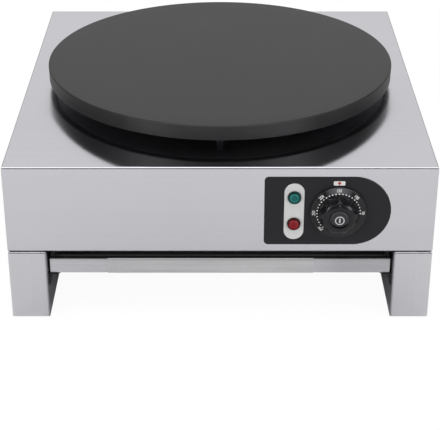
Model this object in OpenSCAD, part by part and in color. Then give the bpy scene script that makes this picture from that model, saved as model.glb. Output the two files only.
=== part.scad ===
// Electric single-plate crepe maker: a round cast-iron plate on three posts over a folded steel
// housing, with two box legs, a crumb drawer between them and a dial thermostat at the front.
// Origin at the middle of the footprint on the table, +Z up, the controls face -Y.

/* [Housing] */
// Width of the housing, side to side
body_w = 450; // [420:1:520]
// Depth of the housing, front to back
body_d = 485; // [460:1:560]
// Height of the housing shell
housing_h = 98.4; // [92:0.1:130]
// Thickness of the stainless sheet
sheet = 1.2; // [0.8:0.1:1.5]
// Outer radius of the sheet's folds
fold_r = 2; // [1.8:0.1:4]
// Width of the shell's turned-in bottom flange along the sides
flange_side = 30; // [26:1:36]
// Width of the shell's turned-in bottom flange at the front and back
flange_end = 20; // [12:1:30]

/* [Base pan] */
// Thickness of the pan, which shows as the seam between housing and legs
pan_t = 1; // [0.8:0.1:2]
// How far the pan's edge lies inside the housing's faces
pan_inset = 2.5; // [2:0.1:5]
// Size of the pan's vent slots, length
pan_vent_len = 60; // [30:1:80]

/* [Legs] */
// Width of each leg's front face
leg_w = 41; // [36:1:50]
// Height of each leg
leg_h = 80.3; // [70:0.1:110]
// Width of the long slot in each leg's floor
leg_slot_w = 16; // [8:1:20]
// Height that the rubber pads lift the legs off the table
pad_t = 1; // [0.6:0.1:3]
// Radius of a pad
pad_r = 10; // [7:0.5:14]
// Distance of a pad's centre from the leg's front or back face
pad_inset = 28; // [20:1:40]

/* [Drawer] */
// Height of the drawer
tray_h = 17.7; // [12:0.1:30]
// Length of the drawer, front to back
tray_len = 465; // [380:1:466]
// Thickness of the drawer's sheet
tray_t = 1; // [0.6:0.1:1.5]
// Finger gap between the drawer and the pan
finger_gap = 12; // [8:0.5:20]
// How far the drawer's face lies behind the legs' faces
tray_setback = 9; // [6:0.5:12]
// Gap between the drawer and each leg
tray_side_gap = 2; // [1:0.1:4]
// Depth of the flange folded back along the top of the drawer's face
tray_hem = 8; // [5:0.5:15]
// Radius of the fold along the top of the drawer's face
tray_fold_r = 1.6; // [1.5:0.1:4]
// Length of the finger strip on the drawer's face
pull_w = 220; // [120:1:280]
// Place of the strip's middle, to the right of the drawer's middle
pull_off = -10; // [-20:1:20]
// Thickness of the strip
pull_t = 1; // [0.8:0.1:2]
// How far the strip's lip stands out of the drawer's face
pull_lip = 1.8; // [1.5:0.1:5]
// How far the strip's lip stands above the drawer's face
pull_rise = 0.9; // [0.3:0.1:2]

/* [Rails] */
// Width of the flange that carries the drawer
rail_flange = 18; // [12:1:30]
// Height of the rail's side against the leg
rail_web = 14; // [12:1:20]
// Thickness of the rail
rail_t = 1.2; // [1:0.1:2]
// Cut-off corner at the front of each flange
rail_corner = 9; // [4:0.5:10]
// Height of the turned-up stop at the back of each rail
rail_stop_h = 10; // [6:0.5:14]
// How far the rails start behind the legs' faces
rail_setback = 7.5; // [0.3:0.1:8]

/* [Plate] */
// Diameter of the cooking plate
plate_d = 400; // [350:1:410]
// Thickness of the plate over the element
slab_t = 7; // [5:0.5:12]
// Width of the plate's rim
rim_t = 8; // [6:0.5:12]
// Bevel along the plate's top edge
plate_bevel = 1.2; // [0.5:0.1:2]
// Height of the posts between housing and plate
post_h = 11; // [8:0.5:25]
// Diameter of the posts
post_d = 12; // [10:0.5:14]
// Distance of the posts from the plate's centre
post_ring_r = 170; // [160:1:172]
// Diameter of the bosses under the plate that take the studs
boss_d = 16; // [13:0.5:18]
// Diameter of the studs
stud_d = 6; // [5:0.5:8]
// Depth of the stud holes above the underside of the slab
stud_bite = 3; // [2:0.5:4]

/* [Element] */
// Diameter of the tubular element
element_d = 6.3; // [5:0.1:8]
// Radius of the outer ring of the element
element_r = 150; // [140:1:152]
// Distance between the element's rings
element_pitch = 30; // [24:1:31]
// Angle left open at the back of the rings
element_open = 28; // [26:1:36]
// Bend radius where the element's ends turn down
cold_bend_r = 7; // [6:0.5:8]
// How far the cold ends reach below the housing's top
cold_end_drop = 15; // [10:0.5:25]
// Thickness of the insulating disc under the element
insul_t = 2; // [1:0.1:4]
// Radius of the hole in the middle of the insulating disc
insul_bore_r = 46; // [44:0.5:48]
// Thickness of the shield that closes the plate from below
shield_t = 1; // [0.8:0.1:2]

/* [Sensor] */
// Diameter of the sensor bulb
bulb_d = 6; // [4:0.1:6]
// Length of the sensor bulb
bulb_len = 60; // [40:1:64]
// Diameter of the capillary tube
capillary_d = 1.8; // [1.2:0.1:2.4]
// Width of the clip that holds the bulb
clip_w = 12; // [8:0.5:20]
// Thickness of the clip
clip_t = 0.8; // [0.5:0.1:1]

/* [Controls] */
// Width of the black control fascia
fascia_w = 132; // [124:1:150]
// Height of the fascia
fascia_h = 78; // [72:0.5:84]
// Thickness of the fascia
fascia_t = 1.6; // [1.5:0.1:3]
// Distance of the fascia's round end from the housing's side
fascia_margin = 47; // [30:1:70]
// Height of the fascia above the housing's lower edge
fascia_rise = 9.5; // [5:0.5:12]
// Corner radius at the fascia's square end
fascia_corner_r = 4.5; // [1:0.5:8]
// Distance of the lamps from the fascia's square end
lamp_in = 31; // [28:0.5:34]
// Distance between the two lamps
lamp_pitch = 30.6; // [26:0.1:34]
// Height of the lamps' middle above the fascia's middle
lamp_lift = 1.4; // [0:0.1:2]
// Diameter of the lamp lenses
lens_d = 13.7; // [12:0.1:15]
// Width of the white lamp plate
lamp_plate_w = 20.7; // [18:0.1:24]
// Height of the white lamp plate
lamp_plate_h = 65; // [58:0.5:70]
// How far the lamp plate stands out of the fascia
lamp_plate_proud = 0.4; // [0.2:0.1:1]
// Thickness of a lens at its rim
lens_t = 4.1; // [2.2:0.1:5]
// Height of a lens's crown above its rim
lens_crown = 0.6; // [0.3:0.1:1]
// Distance of the knob's axis from the fascia's square end
knob_in = 77; // [75:0.5:85]

/* [Knob] */
// Diameter of the numbered skirt
skirt_d = 58.4; // [54:0.1:62]
// Thickness of the skirt at its edge
skirt_edge = 2; // [1:0.1:3]
// Thickness of the skirt where it meets the grip
skirt_rise = 4.6; // [3.5:0.1:6]
// Diameter of the grip at the skirt
grip_d = 42; // [38:0.5:44]
// Diameter of the grip where its domed front starts
grip_front_d = 39; // [36:0.5:41]
// Height at which the grip's domed front starts
grip_h = 11.5; // [9:0.1:13]
// Height of the knob up to the seat of its cap
knob_h = 18; // [16:0.1:26]
// Width of the flat ring round the cap
cap_land = 1.2; // [0.8:0.1:2]
// Number of finger flutes round the grip
flutes = 9; // [6:1:14]
// Depth of the flutes
flute_depth = 2; // [0.5:0.1:2.5]
// Diameter of the cap in the knob's front
cap_d = 19.8; // [16:0.1:24]
// Thickness of the cap
cap_t = 4; // [3.2:0.1:5]
// How far the cap stands out of the grip
cap_proud = 2.1; // [1:0.1:3]
// Gap between the knob and the fascia
knob_gap = 0.5; // [0.3:0.1:1.5]
// Diameter of the thermostat's shaft
shaft_d = 6; // [5:0.5:8]
// Width of the pointer tab over the knob
tab_w = 12; // [8:0.5:18]
// Height of the pointer tab
tab_h = 4.7; // [4:0.1:6.5]
// Gap between the pointer tab and the knob's skirt
tab_gap = 1.2; // [0.5:0.1:2]

/* [Cord entry] */
// Distance of the cable gland from the housing's side
gland_side = 85; // [80:1:110]
// Height of the gland above the housing's lower edge
gland_rise = 34; // [28:1:50]
// How far the gland stands out of the back
gland_reach = 25.2; // [24:0.1:30]
// Diameter of the gland's thread
gland_d = 16; // [14:0.5:20]
// Diameter of the cord that the seal takes
cord_d = 8; // [6:0.1:8.4]

/* [Fits] */
// Gap under and behind the drawer
slide_gap = 0.3; // [0.2:0.05:0.5]
// Gap round a piece that is set in a hole
fit_gap = 0.15; // [0.1:0.05:0.3]
// Gap round a screw thread or a turning shaft
run_gap = 0.05; // [0.02:0.01:0.1]
// Gap above and below the element
element_gap = 0.1; // [0.05:0.05:0.3]

/* [Hidden] */
$fn = 48;
past = 1; // cuts run this far past the faces they open
hex_k = 1 / cos(30); // corner radius of a hexagon over its inner radius

// Heights, from the table up
leg0 = pad_t;
pan0 = leg0 + leg_h;
shell0 = pan0 + pan_t;
shell_top = shell0 + housing_h;
shield0 = shell_top + post_h;
insul0 = shield0 + shield_t;
element_z = insul0 + insul_t + element_gap + element_d / 2;
slab0 = element_z + element_d / 2 + element_gap;
plate_top = slab0 + slab_t;
tray_top = pan0 - finger_gap;
tray0 = tray_top - tray_h;
rail_top = tray0 - slide_gap;

// Places across and along the body
front = -body_d / 2;
back = body_d / 2;
wall_front = front + sheet;
wall_back = back - sheet;
leg_in = body_w / 2 - leg_w;
leg_mid = body_w / 2 - leg_w / 2;
tray_half = leg_in - tray_side_gap;
tray_front = front + tray_setback;
tray_back = tray_front + tray_len;
rail_front = front + rail_setback;
stop_y = tray_back + slide_gap;
pad_neck_r = pad_r / 3;
pad_lip = 1;
pad_button_t = 2;

// Plate and element
plate_r = plate_d / 2;
rim_in = plate_r - rim_t;
post_angles = [-90, 30, 150];
element_rings = 4;
element_start = 90 + element_open / 2;
element_span = 360 - element_open;
element_steps = 28;
bend_steps = 6;
cold_ends = [for (i = [0, element_rings - 1])
  polar(ring_r(i), element_start) - cold_bend_r * turned(element_start)];
cold_end_low = shell_top - cold_end_drop;
insul_room = 1;
bush_wall = 1.8;
bush_drop = 5;
bulb_y = -15;
bulb_end_x = 22;
bulb_z = slab0 - bulb_d / 2 - element_gap;
capillary_exit = [36, -24];
capillary_hole_r = 3.5;

// Control panel
fascia_right = body_w / 2 - fascia_margin;
fascia_left = fascia_right - fascia_w;
fascia_low = shell0 + fascia_rise;
panel_z = fascia_low + fascia_h / 2;
fascia_face = front - fascia_t;
lamp_x = fascia_left + lamp_in;
lamp_zs = [panel_z + lamp_lift + lamp_pitch / 2, panel_z + lamp_lift - lamp_pitch / 2];
lamp_body_d = 10;
lamp_body_len = 22;
lamp_nut_d = 15;
lamp_nut_t = 3;
knob_x = fascia_left + knob_in;
knob_z = panel_z;
knob_base = fascia_face - knob_gap;
cap_seat = cap_t - cap_proud;
cap_bevel = 0.8;
cap_backing = 4;
bore_depth = knob_h - cap_seat - cap_backing;
shaft_room = 1;
flute_spread = 1.2;
dome_steps = 5;
flat_depth = 1;
thermo_w = 44;
thermo_h = 40;
thermo_bracket_t = 1.5;
thermo_d = 25.5;
thermo_back = wall_front + thermo_d;
bearing_depth = 12;
thermo_screw_x = 14;
thermo_screw_d = 4;
thermo_head_r = 3.5;
thermo_head_t = 1.3;
tab_face_t = 0.6;
spade_t = 0.8;
spade_w = 6;
spade_len = 8;
spade_x = 9;

// Fasteners
screw_d = 4;
screw_inset = 52;
screw_ys = [front + screw_inset, 0, back - screw_inset];
screw_head_r = 4;
screw_head_t = 3;
nut_h = 3.2;
nut_af = 7;
screw_tail = 1.5;
rivet_d = 3.2;
rivet_head_r = 3.2;
rivet_head_t = 1.2;
rivet_tail_r = 2.4;
rivet_tail_t = 1.5;
rivet_inset = 60;
rivet_ys = [rail_front + rivet_inset, (rail_front + stop_y) / 2, stop_y - rivet_inset];
rivet_z = rail_top - (rail_web + rail_t) / 2;
washer_t = 1.2;
washer_r = 8;
stud_nut_h = 5;
stud_nut_af = 10;
stud_tail = 3;
stud_low = shell_top - sheet - washer_t - stud_nut_h - stud_tail;
clip_screw_d = 3;
clip_foot = 8;
clip_half = bulb_d / 2 + element_gap;
clip_drop = bulb_d + 2 * element_gap;

// Supply side
gland_x = body_w / 2 - gland_side;
block_x = gland_x;
block_inset = 90;
block_y = back - block_inset;
block_w = 44;
block_d = 22;
block_h = 18;
pole_pitch = 13;
pole_hole_r = 2.5;
pole_rise = 7;
pole_roof = 1;
pole_z = shell0 + pole_rise;
well_z = pole_z + pole_hole_r + pole_roof;
pole_xs = [for (k = [-1, 0, 1]) block_x + k * pole_pitch];
earth_side = 14;
earth_x = block_x + block_w / 2 + earth_side;
earth_d = 5;
earth_h = 16;
earth_nut_af = 8;
earth_nut_h = 4;
earth_flange_t = 4;
earth_nut_z = shell0 + earth_flange_t;
wire_d = 2.2;
wire_side = 1.25;
wire_end_gap = 0.2; // wires and tubes stop this far from the terminal that they meet
wire_sides = 8;
wire_steps = 4;
wire_lows = [shell0 + 22, shell0 + 32, shell0 + 12]; // where the wires to the block hang lowest
gland_z = shell0 + gland_rise;
gland_flange_t = 6;
gland_wall = 2;
gland_shoulder = 4;
gland_bore_r = gland_d / 2 - gland_wall;
gland_hex_r = gland_d / 2 + gland_shoulder;
gland_nut_r = gland_hex_r - gland_wall / 2;
gland_tail = 10;
locknut_t = 4;
gland_nut_gap = 0.2;
gland_thread = 8;
gland_nut0 = back + gland_flange_t + gland_nut_gap;
gland_thread_end = back + gland_flange_t + gland_thread;
seal_sunk = 2;
seal0 = back + gland_flange_t - seal_sunk;
seal_len = 14;
gland_tip = back + gland_reach;

// Vents
vent_w = 4;
vent_pitch = 14;
back_vent_h = 34;
back_vents = 7;
back_vent_x = -60;
pan_vents = 7;
pan_vent_row = 90;

function polar(r, a) = [r * cos(a), r * sin(a)];
function turned(a) = [-sin(a), cos(a)];
function ring_r(i) = element_r - i * element_pitch;
function unit(v) = v / norm(v);

// Smooth curve through the points p, with wire_steps short runs between neighbours
function spline_at(a, b, c, d, t) =
  0.5 * (2 * b + (c - a) * t + (2 * a - 5 * b + 4 * c - d) * t * t + (3 * b - a - 3 * c + d) * t * t * t);
function spline(p) = let (n = len(p) - 1) concat(
  [for (i = [0:n - 1], k = [0:wire_steps - 1])
    spline_at(p[max(i - 1, 0)], p[i], p[i + 1], p[min(i + 2, n)], k / wire_steps)],
  [p[n]]
);

// Sideways directions carried along the tangents t without twisting
function carried(t, n, i = 0) = i == len(t) ? [] :
  let (m = unit(n - (n * t[i]) * t[i])) concat([m], carried(t, m, i + 1));

// Round tube swept along a path
module tube(path, d, sides = wire_sides) {
  n = len(path);
  t = [for (i = [0:n - 1]) unit(path[min(i + 1, n - 1)] - path[max(i - 1, 0)])];
  u = carried(t, abs(t[0].z) < 0.8 ? [0, 0, 1] : [1, 0, 0]);
  rim = [for (i = [0:n - 1], k = [0:sides - 1])
    let (a = 360 * k / sides) path[i] + d / 2 * (cos(a) * u[i] + sin(a) * cross(t[i], u[i]))];
  walls = [for (i = [0:n - 2], k = [0:sides - 1])
    let (a = i * sides + k, b = i * sides + (k + 1) % sides)
    each [[a, a + sides, b], [b, a + sides, b + sides]]];
  ends = [for (k = [1:sides - 2]) each
    [[0, k, k + 1], [(n - 1) * sides, (n - 1) * sides + k + 1, (n - 1) * sides + k]]];
  polyhedron(points = rim, faces = concat(walls, ends), convexity = 6);
}

// Rectangle with its corner at the origin and round corners
module round_rect(w, h, r) {
  translate([r, 0]) square([w - 2 * r, h]);
  translate([0, r]) square([w, h - 2 * r]);
  for (x = [r, w - r], y = [r, h - r]) translate([x, y]) circle(r = r);
}

// Box with its corner at the origin and every edge rounded
module soft_box(w, d, h, r) {
  intersection() {
    linear_extrude(h) round_rect(w, d, r);
    translate([0, d, 0]) rotate([90, 0, 0]) linear_extrude(d) round_rect(w, h, r);
    rotate([90, 0, 90]) linear_extrude(w) round_rect(d, h, r);
  }
}

// Folded sheet box, hollow, with its corner at the origin
module sheet_box(w, d, h, r) {
  difference() {
    soft_box(w, d, h, r);
    translate([sheet, sheet, sheet])
      soft_box(w - 2 * sheet, d - 2 * sheet, h - 2 * sheet, r - sheet / 2);
  }
}

// Straight slot with round ends, centred, its length along Y
module slot_2d(w, len) {
  square([w, len - w], center = true);
  for (s = [-1, 1]) translate([0, s * (len - w) / 2]) circle(d = w);
}

// Cylinder along Y between two places
module rod_y(y0, y1, r) {
  translate([0, y1, 0]) rotate([90, 0, 0]) cylinder(h = y1 - y0, r = r);
}

// Hexagonal prism along Z
module hex_z(af, h) {
  cylinder(h = h, r = af / 2 * hex_k, $fn = 6);
}

module at_posts() {
  for (a = post_angles) rotate([0, 0, a]) translate([post_ring_r, 0, 0]) children();
}

module at_base_screws() {
  for (s = [-1, 1], y = screw_ys) translate([s * leg_mid, y, 0]) children();
}

module at_cold_ends() {
  for (p = cold_ends) translate([p.x, p.y, 0]) children();
}

module at_lamps() {
  for (z = lamp_zs) translate([lamp_x, 0, z]) children();
}

module at_thermo_screws() {
  for (s = [-1, 1]) translate([knob_x + s * thermo_screw_x, 0, knob_z]) children();
}

module post_holes(r, z0, h) {
  at_posts() translate([0, 0, z0]) cylinder(h = h, r = r);
}

module housing_shell() {
  color("silver") difference() {
    translate([-body_w / 2, front, shell0]) sheet_box(body_w, body_d, housing_h, fold_r);
    translate([flange_side - body_w / 2, front + flange_end, shell0 - past])
      cube([body_w - 2 * flange_side, body_d - 2 * flange_end, sheet + 2 * past]);
    post_holes(stud_d / 2 + 2 * fit_gap, shell_top - sheet - past, sheet + 2 * past);
    at_cold_ends() translate([0, 0, shell_top - sheet - past])
      cylinder(h = sheet + 2 * past, r = element_d / 2 + bush_wall + 2 * fit_gap);
    translate([capillary_exit.x, capillary_exit.y, shell_top - sheet - past])
      cylinder(h = sheet + 2 * past, r = capillary_hole_r);
    at_lamps() rod_y(front - past, wall_front + past, lamp_body_d / 2 + fit_gap);
    translate([knob_x, 0, knob_z]) rod_y(front - past, wall_front + past, shaft_d / 2 + shaft_room);
    at_thermo_screws() rod_y(front - past, wall_front + past, thermo_screw_d / 2 + fit_gap);
    translate([gland_x, 0, gland_z]) rod_y(wall_back - past, back + past, gland_d / 2 + fit_gap);
    for (k = [0:back_vents - 1])
      translate([back_vent_x + (k - (back_vents - 1) / 2) * vent_pitch, back + past, gland_z])
        rotate([90, 0, 0]) linear_extrude(sheet + 2 * past) slot_2d(vent_w, back_vent_h);
    at_base_screws() translate([0, 0, shell0 - past])
      cylinder(h = sheet + 2 * past, r = screw_d / 2 + fit_gap);
  }
}

module base_pan() {
  color("gray") difference() {
    translate([pan_inset - body_w / 2, front + pan_inset, pan0])
      cube([body_w - 2 * pan_inset, body_d - 2 * pan_inset, pan_t]);
    at_base_screws() translate([0, 0, pan0 - past])
      cylinder(h = pan_t + 2 * past, r = screw_d / 2 + fit_gap);
    for (k = [0:pan_vents - 1], s = [-1, 1])
      translate([(k - (pan_vents - 1) / 2) * 2 * vent_pitch, s * pan_vent_row, pan0 - past])
        linear_extrude(pan_t + 2 * past) slot_2d(vent_w, pan_vent_len);
  }
}

// Leg on the right
module leg() {
  difference() {
    translate([leg_in, front, leg0]) sheet_box(leg_w, body_d, leg_h, fold_r);
    translate([leg_mid, 0, leg0 - past]) linear_extrude(sheet + 2 * past)
      slot_2d(leg_slot_w, body_d - 4 * pad_inset);
    for (s = [-1, 1]) translate([leg_mid, s * (back - pad_inset), leg0 - past])
      cylinder(h = sheet + 2 * past, r = pad_neck_r + fit_gap);
    for (y = screw_ys) translate([leg_mid, y, pan0 - sheet - past])
      cylinder(h = sheet + 2 * past, r = screw_d / 2 + fit_gap);
    for (y = rivet_ys) translate([leg_in - past, y, rivet_z]) rotate([0, 90, 0])
      cylinder(h = sheet + 2 * past, r = rivet_d / 2 + run_gap);
  }
}

module right_leg() {
  color("silver") leg();
}

module left_leg() {
  color("silver") mirror([1, 0, 0]) leg();
}

// Push-in pads: disc under the leg's floor, neck through it, button above it
module foot_pads() {
  color("black") for (sx = [-1, 1], sy = [-1, 1])
    translate([sx * leg_mid, sy * (back - pad_inset), 0]) {
      cylinder(h = pad_t, r = pad_r);
      cylinder(h = pad_t + sheet + pad_button_t, r = pad_neck_r);
      translate([0, 0, pad_t + sheet]) cylinder(h = pad_button_t, r = pad_neck_r + pad_lip);
    }
}

// Rail on the right: flange under the drawer, side down the leg, stop at the back
module rail() {
  tip = leg_in - rail_flange;
  difference() {
    union() {
      translate([0, 0, rail_top - rail_t]) linear_extrude(rail_t) polygon([
        [leg_in, rail_front], [leg_in, stop_y + rail_t], [tip, stop_y + rail_t],
        [tip, rail_front + rail_corner], [tip + rail_corner, rail_front]
      ]);
      translate([leg_in - rail_t, rail_front, rail_top - rail_web])
        cube([rail_t, stop_y + rail_t - rail_front, rail_web]);
      translate([tip, stop_y, rail_top - rail_t])
        cube([rail_flange, rail_t, rail_stop_h + rail_t]);
    }
    for (y = rivet_ys) translate([leg_in - rail_t - past, y, rivet_z]) rotate([0, 90, 0])
      cylinder(h = rail_t + 2 * past, r = rivet_d / 2 + run_gap);
  }
}

module right_rail() {
  color("silver") rail();
}

module left_rail() {
  color("silver") mirror([1, 0, 0]) rail();
}

// Rivets through rail and leg: head on the rail, tail inside the leg
module rail_rivets() {
  grip = rail_t + sheet;
  color("silver") for (s = [0, 1]) mirror([s, 0, 0]) for (y = rivet_ys)
    translate([leg_in - rail_t, y, rivet_z]) rotate([0, 90, 0]) {
      translate([0, 0, -rivet_head_t]) cylinder(h = rivet_head_t, r1 = rivet_d / 2, r2 = rivet_head_r);
      translate([0, 0, -rivet_head_t / 2]) cylinder(h = grip + rivet_head_t, r = rivet_d / 2);
      translate([0, 0, grip]) cylinder(h = rivet_tail_t, r = rivet_tail_r);
    }
}

// Screws from inside the legs up through pan and flange
module base_screws() {
  under = pan0 - sheet;
  color("lightgray") at_base_screws() {
    translate([0, 0, under - screw_head_t]) cylinder(h = screw_head_t, r = screw_head_r);
    translate([0, 0, under - past])
      cylinder(h = past + 2 * sheet + pan_t + nut_h + screw_tail, r = screw_d / 2);
  }
}

module base_nuts() {
  color("lightgray") at_base_screws() translate([0, 0, shell0 + sheet]) difference() {
    hex_z(nut_af, nut_h);
    translate([0, 0, -past]) cylinder(h = nut_h + 2 * past, r = screw_d / 2 + run_gap);
  }
}

// Side outline of the drawer, Y to the right and Z up, rounded at the front
module tray_side_2d() {
  translate([tray_front + tray_fold_r, tray0]) square([tray_len - tray_fold_r, tray_h]);
  translate([tray_front, tray0]) square([2 * tray_fold_r, tray_h - tray_fold_r]);
  translate([tray_front + tray_fold_r, tray_top - tray_fold_r]) circle(r = tray_fold_r);
}

module drawer_tray() {
  inner_w = 2 * (tray_half - tray_t);
  color("darkgray") difference() {
    translate([-tray_half, 0, 0]) rotate([90, 0, 90]) linear_extrude(2 * tray_half) tray_side_2d();
    translate([-inner_w / 2, tray_front + tray_t, tray0 + tray_t])
      cube([inner_w, tray_len - 2 * tray_t, tray_h - tray_fold_r - tray_t]);
    translate([-inner_w / 2, tray_front + tray_fold_r, tray0 + tray_t])
      cube([inner_w, tray_len - tray_fold_r - tray_t, tray_h - 2 * tray_t]);
    translate([-inner_w / 2, tray_front + tray_hem, tray0 + tray_t])
      cube([inner_w, tray_len - tray_hem - tray_t, tray_h]);
  }
}

// Finger strip: plate on the drawer's face with a lip turned forward at its top
module drawer_pull() {
  color("silver") translate([pull_off - pull_w / 2, 0, 0]) rotate([90, 0, 90]) linear_extrude(pull_w) {
    translate([tray_front - pull_t, tray0]) square([pull_t, tray_h + pull_rise]);
    translate([tray_front - pull_lip, tray_top + pull_rise - pull_t]) square([pull_lip, pull_t]);
  }
}

module griddle_plate() {
  color([0.2, 0.2, 0.2]) difference() {
    union() {
      rotate_extrude() polygon([
        [0, slab0], [rim_in, slab0], [rim_in, shield0], [plate_r, shield0],
        [plate_r, plate_top - plate_bevel], [plate_r - plate_bevel, plate_top], [0, plate_top]
      ]);
      at_posts() translate([0, 0, insul0]) cylinder(h = slab0 + past - insul0, d = boss_d);
    }
    post_holes(stud_d / 2 + run_gap, insul0 - past, slab0 + stud_bite + past - insul0);
    at_clip_screws() cylinder(h = clip_screw_d, r = clip_screw_d / 2 + run_gap);
  }
}

// The element's centre line: up one cold end, round every ring with a bend between neighbours,
// and down the other cold end
function raised(p, z) = [p.x, p.y, z];
function ring_path(i) = [for (k = [0:element_steps])
  let (f = (i % 2 == 0 ? k : element_steps - k) / element_steps)
  raised(polar(ring_r(i), element_start + element_span * f), element_z)];
function bend_path(i) = let (
  far = i % 2 == 0,
  a = far ? element_start + element_span : element_start,
  middle = polar(ring_r(i) - element_pitch / 2, a)
) [for (k = [1:bend_steps - 1]) let (t = 180 * k / bend_steps)
  raised(middle + element_pitch / 2 * (cos(t) * polar(1, a) + (far ? 1 : -1) * sin(t) * turned(a)),
    element_z)];
function cold_path(i) = concat(
  [raised(cold_ends[i], cold_end_low)],
  [for (k = [0:bend_steps - 1]) let (t = 90 * k / bend_steps)
    raised(cold_ends[i] + cold_bend_r * (1 - cos(t)) * turned(element_start),
      element_z - cold_bend_r * (1 - sin(t)))]
);
function reversed(p) = [for (k = [len(p) - 1:-1:0]) p[k]];

module heating_element() {
  color("dimgray") tube(concat(
    cold_path(0),
    [for (i = [0:element_rings - 1]) each
      concat(ring_path(i), i < element_rings - 1 ? bend_path(i) : [])],
    reversed(cold_path(1))
  ), element_d);
}

module insulation_disc() {
  color("white") difference() {
    translate([0, 0, insul0]) cylinder(h = insul_t, r = rim_in - insul_room);
    translate([0, 0, insul0 - past]) cylinder(h = insul_t + 2 * past, r = insul_bore_r);
    post_holes(boss_d / 2 + fit_gap, insul0 - past, insul_t + 2 * past);
    at_cold_ends() translate([0, 0, insul0 - past])
      cylinder(h = insul_t + 2 * past, r = (element_d + cold_bend_r) / 2);
  }
}

module heat_shield() {
  color("gainsboro") difference() {
    translate([0, 0, shield0]) cylinder(h = shield_t, r = rim_in - fit_gap);
    post_holes(stud_d / 2 + fit_gap, shield0 - past, shield_t + 2 * past);
    at_cold_ends() translate([0, 0, shield0 - past])
      cylinder(h = shield_t + 2 * past, r = element_d / 2 + 4 * fit_gap);
    translate([capillary_exit.x, capillary_exit.y, shield0 - past])
      cylinder(h = shield_t + 2 * past, r = capillary_hole_r);
  }
}

module plate_studs() {
  color("lightgray") at_posts() translate([0, 0, stud_low])
    cylinder(h = slab0 + stud_bite - run_gap - stud_low, d = stud_d);
}

module post_sleeves() {
  color("lightgray") at_posts() translate([0, 0, shell_top]) difference() {
    cylinder(h = post_h, d = post_d);
    translate([0, 0, -past]) cylinder(h = post_h + 2 * past, r = stud_d / 2 + fit_gap);
  }
}

module plate_washers() {
  color("lightgray") at_posts() translate([0, 0, shell_top - sheet - washer_t]) difference() {
    cylinder(h = washer_t, r = washer_r);
    translate([0, 0, -past]) cylinder(h = washer_t + 2 * past, r = stud_d / 2 + fit_gap);
  }
}

module plate_nuts() {
  color("lightgray") at_posts() translate([0, 0, stud_low + stud_tail]) difference() {
    hex_z(stud_nut_af, stud_nut_h);
    translate([0, 0, -past]) cylinder(h = stud_nut_h + 2 * past, r = stud_d / 2 + run_gap);
  }
}

// Ceramic bushes that carry the cold ends through the housing's top
module terminal_bushes() {
  low = shell_top - sheet - bush_drop;
  color("ivory") at_cold_ends() translate([0, 0, low]) difference() {
    cylinder(h = shield0 - fit_gap - low, r = element_d / 2 + fit_gap + bush_wall);
    translate([0, 0, -past]) cylinder(h = shield0 + 2 * past - low, r = element_d / 2 + fit_gap);
  }
}

module sensor_bulb() {
  color("peru") translate([bulb_end_x - bulb_len, bulb_y, bulb_z]) rotate([0, 90, 0])
    cylinder(h = bulb_len, d = bulb_d);
}

// Places of the clip's screws on the underside of the slab
module at_clip_screws() {
  for (s = [-1, 1])
    translate([bulb_end_x - bulb_len / 2, bulb_y + s * (clip_half + clip_t + clip_foot / 2), slab0])
      children();
}

// Clip: channel round the bulb with a foot on each side against the slab
module sensor_clip() {
  half = clip_half + clip_t;
  color("silver") difference() {
    translate([bulb_end_x - bulb_len / 2 - clip_w / 2, bulb_y, slab0]) {
      difference() {
        translate([0, -half, -clip_drop - clip_t]) cube([clip_w, 2 * half, clip_drop + clip_t]);
        translate([-past, -clip_half, -clip_drop])
          cube([clip_w + 2 * past, 2 * clip_half, clip_drop + past]);
      }
      for (y = [-half - clip_foot, half]) translate([0, y, -clip_t]) cube([clip_w, clip_foot, clip_t]);
    }
    at_clip_screws() translate([0, 0, -clip_t - past])
      cylinder(h = clip_t + 2 * past, r = clip_screw_d / 2 + fit_gap);
  }
}

module clip_screws() {
  color("lightgray") at_clip_screws() {
    translate([0, 0, -clip_t - clip_screw_d / 2]) cylinder(h = clip_screw_d / 2, r = clip_screw_d);
    translate([0, 0, -clip_t - past / 2])
      cylinder(h = clip_t + clip_screw_d - run_gap + past / 2, d = clip_screw_d);
  }
}

// Capillary from the bulb down through shield and housing top to the thermostat
module capillary_tube() {
  ex = capillary_exit.x;
  ey = capillary_exit.y;
  entry = [knob_x - thermo_w / 4, wall_front + thermo_d / 2, knob_z + thermo_h / 2 + wire_end_gap];
  color("peru") tube(spline(concat([
    [bulb_end_x + wire_end_gap, bulb_y, bulb_z], [bulb_end_x + 3, bulb_y, bulb_z],
    [bulb_end_x + 7, bulb_y, bulb_z], [ex - 2, ey + 5, bulb_z - 1.5], [ex, ey + 1, bulb_z - 6],
    [ex, ey, shield0 - 3], [ex, ey, shell_top - 12], [ex + 8, ey - 30, shell_top - 17],
    [entry.x - 8, entry.y + 50, shell_top - 17]
  ], reversed(lead(entry, [0, 0, 1])))), capillary_d);
}

// Outline of the fascia seen from the front: square at the left, half round at the right
module fascia_2d() {
  translate([0, fascia_corner_r])
    square([2 * fascia_corner_r, fascia_h - 2 * fascia_corner_r]);
  translate([fascia_corner_r, 0]) square([fascia_w - fascia_h / 2 - fascia_corner_r, fascia_h]);
  for (y = [fascia_corner_r, fascia_h - fascia_corner_r])
    translate([fascia_corner_r, y]) circle(r = fascia_corner_r);
  translate([fascia_w - fascia_h / 2, fascia_h / 2]) circle(d = fascia_h);
}

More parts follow.
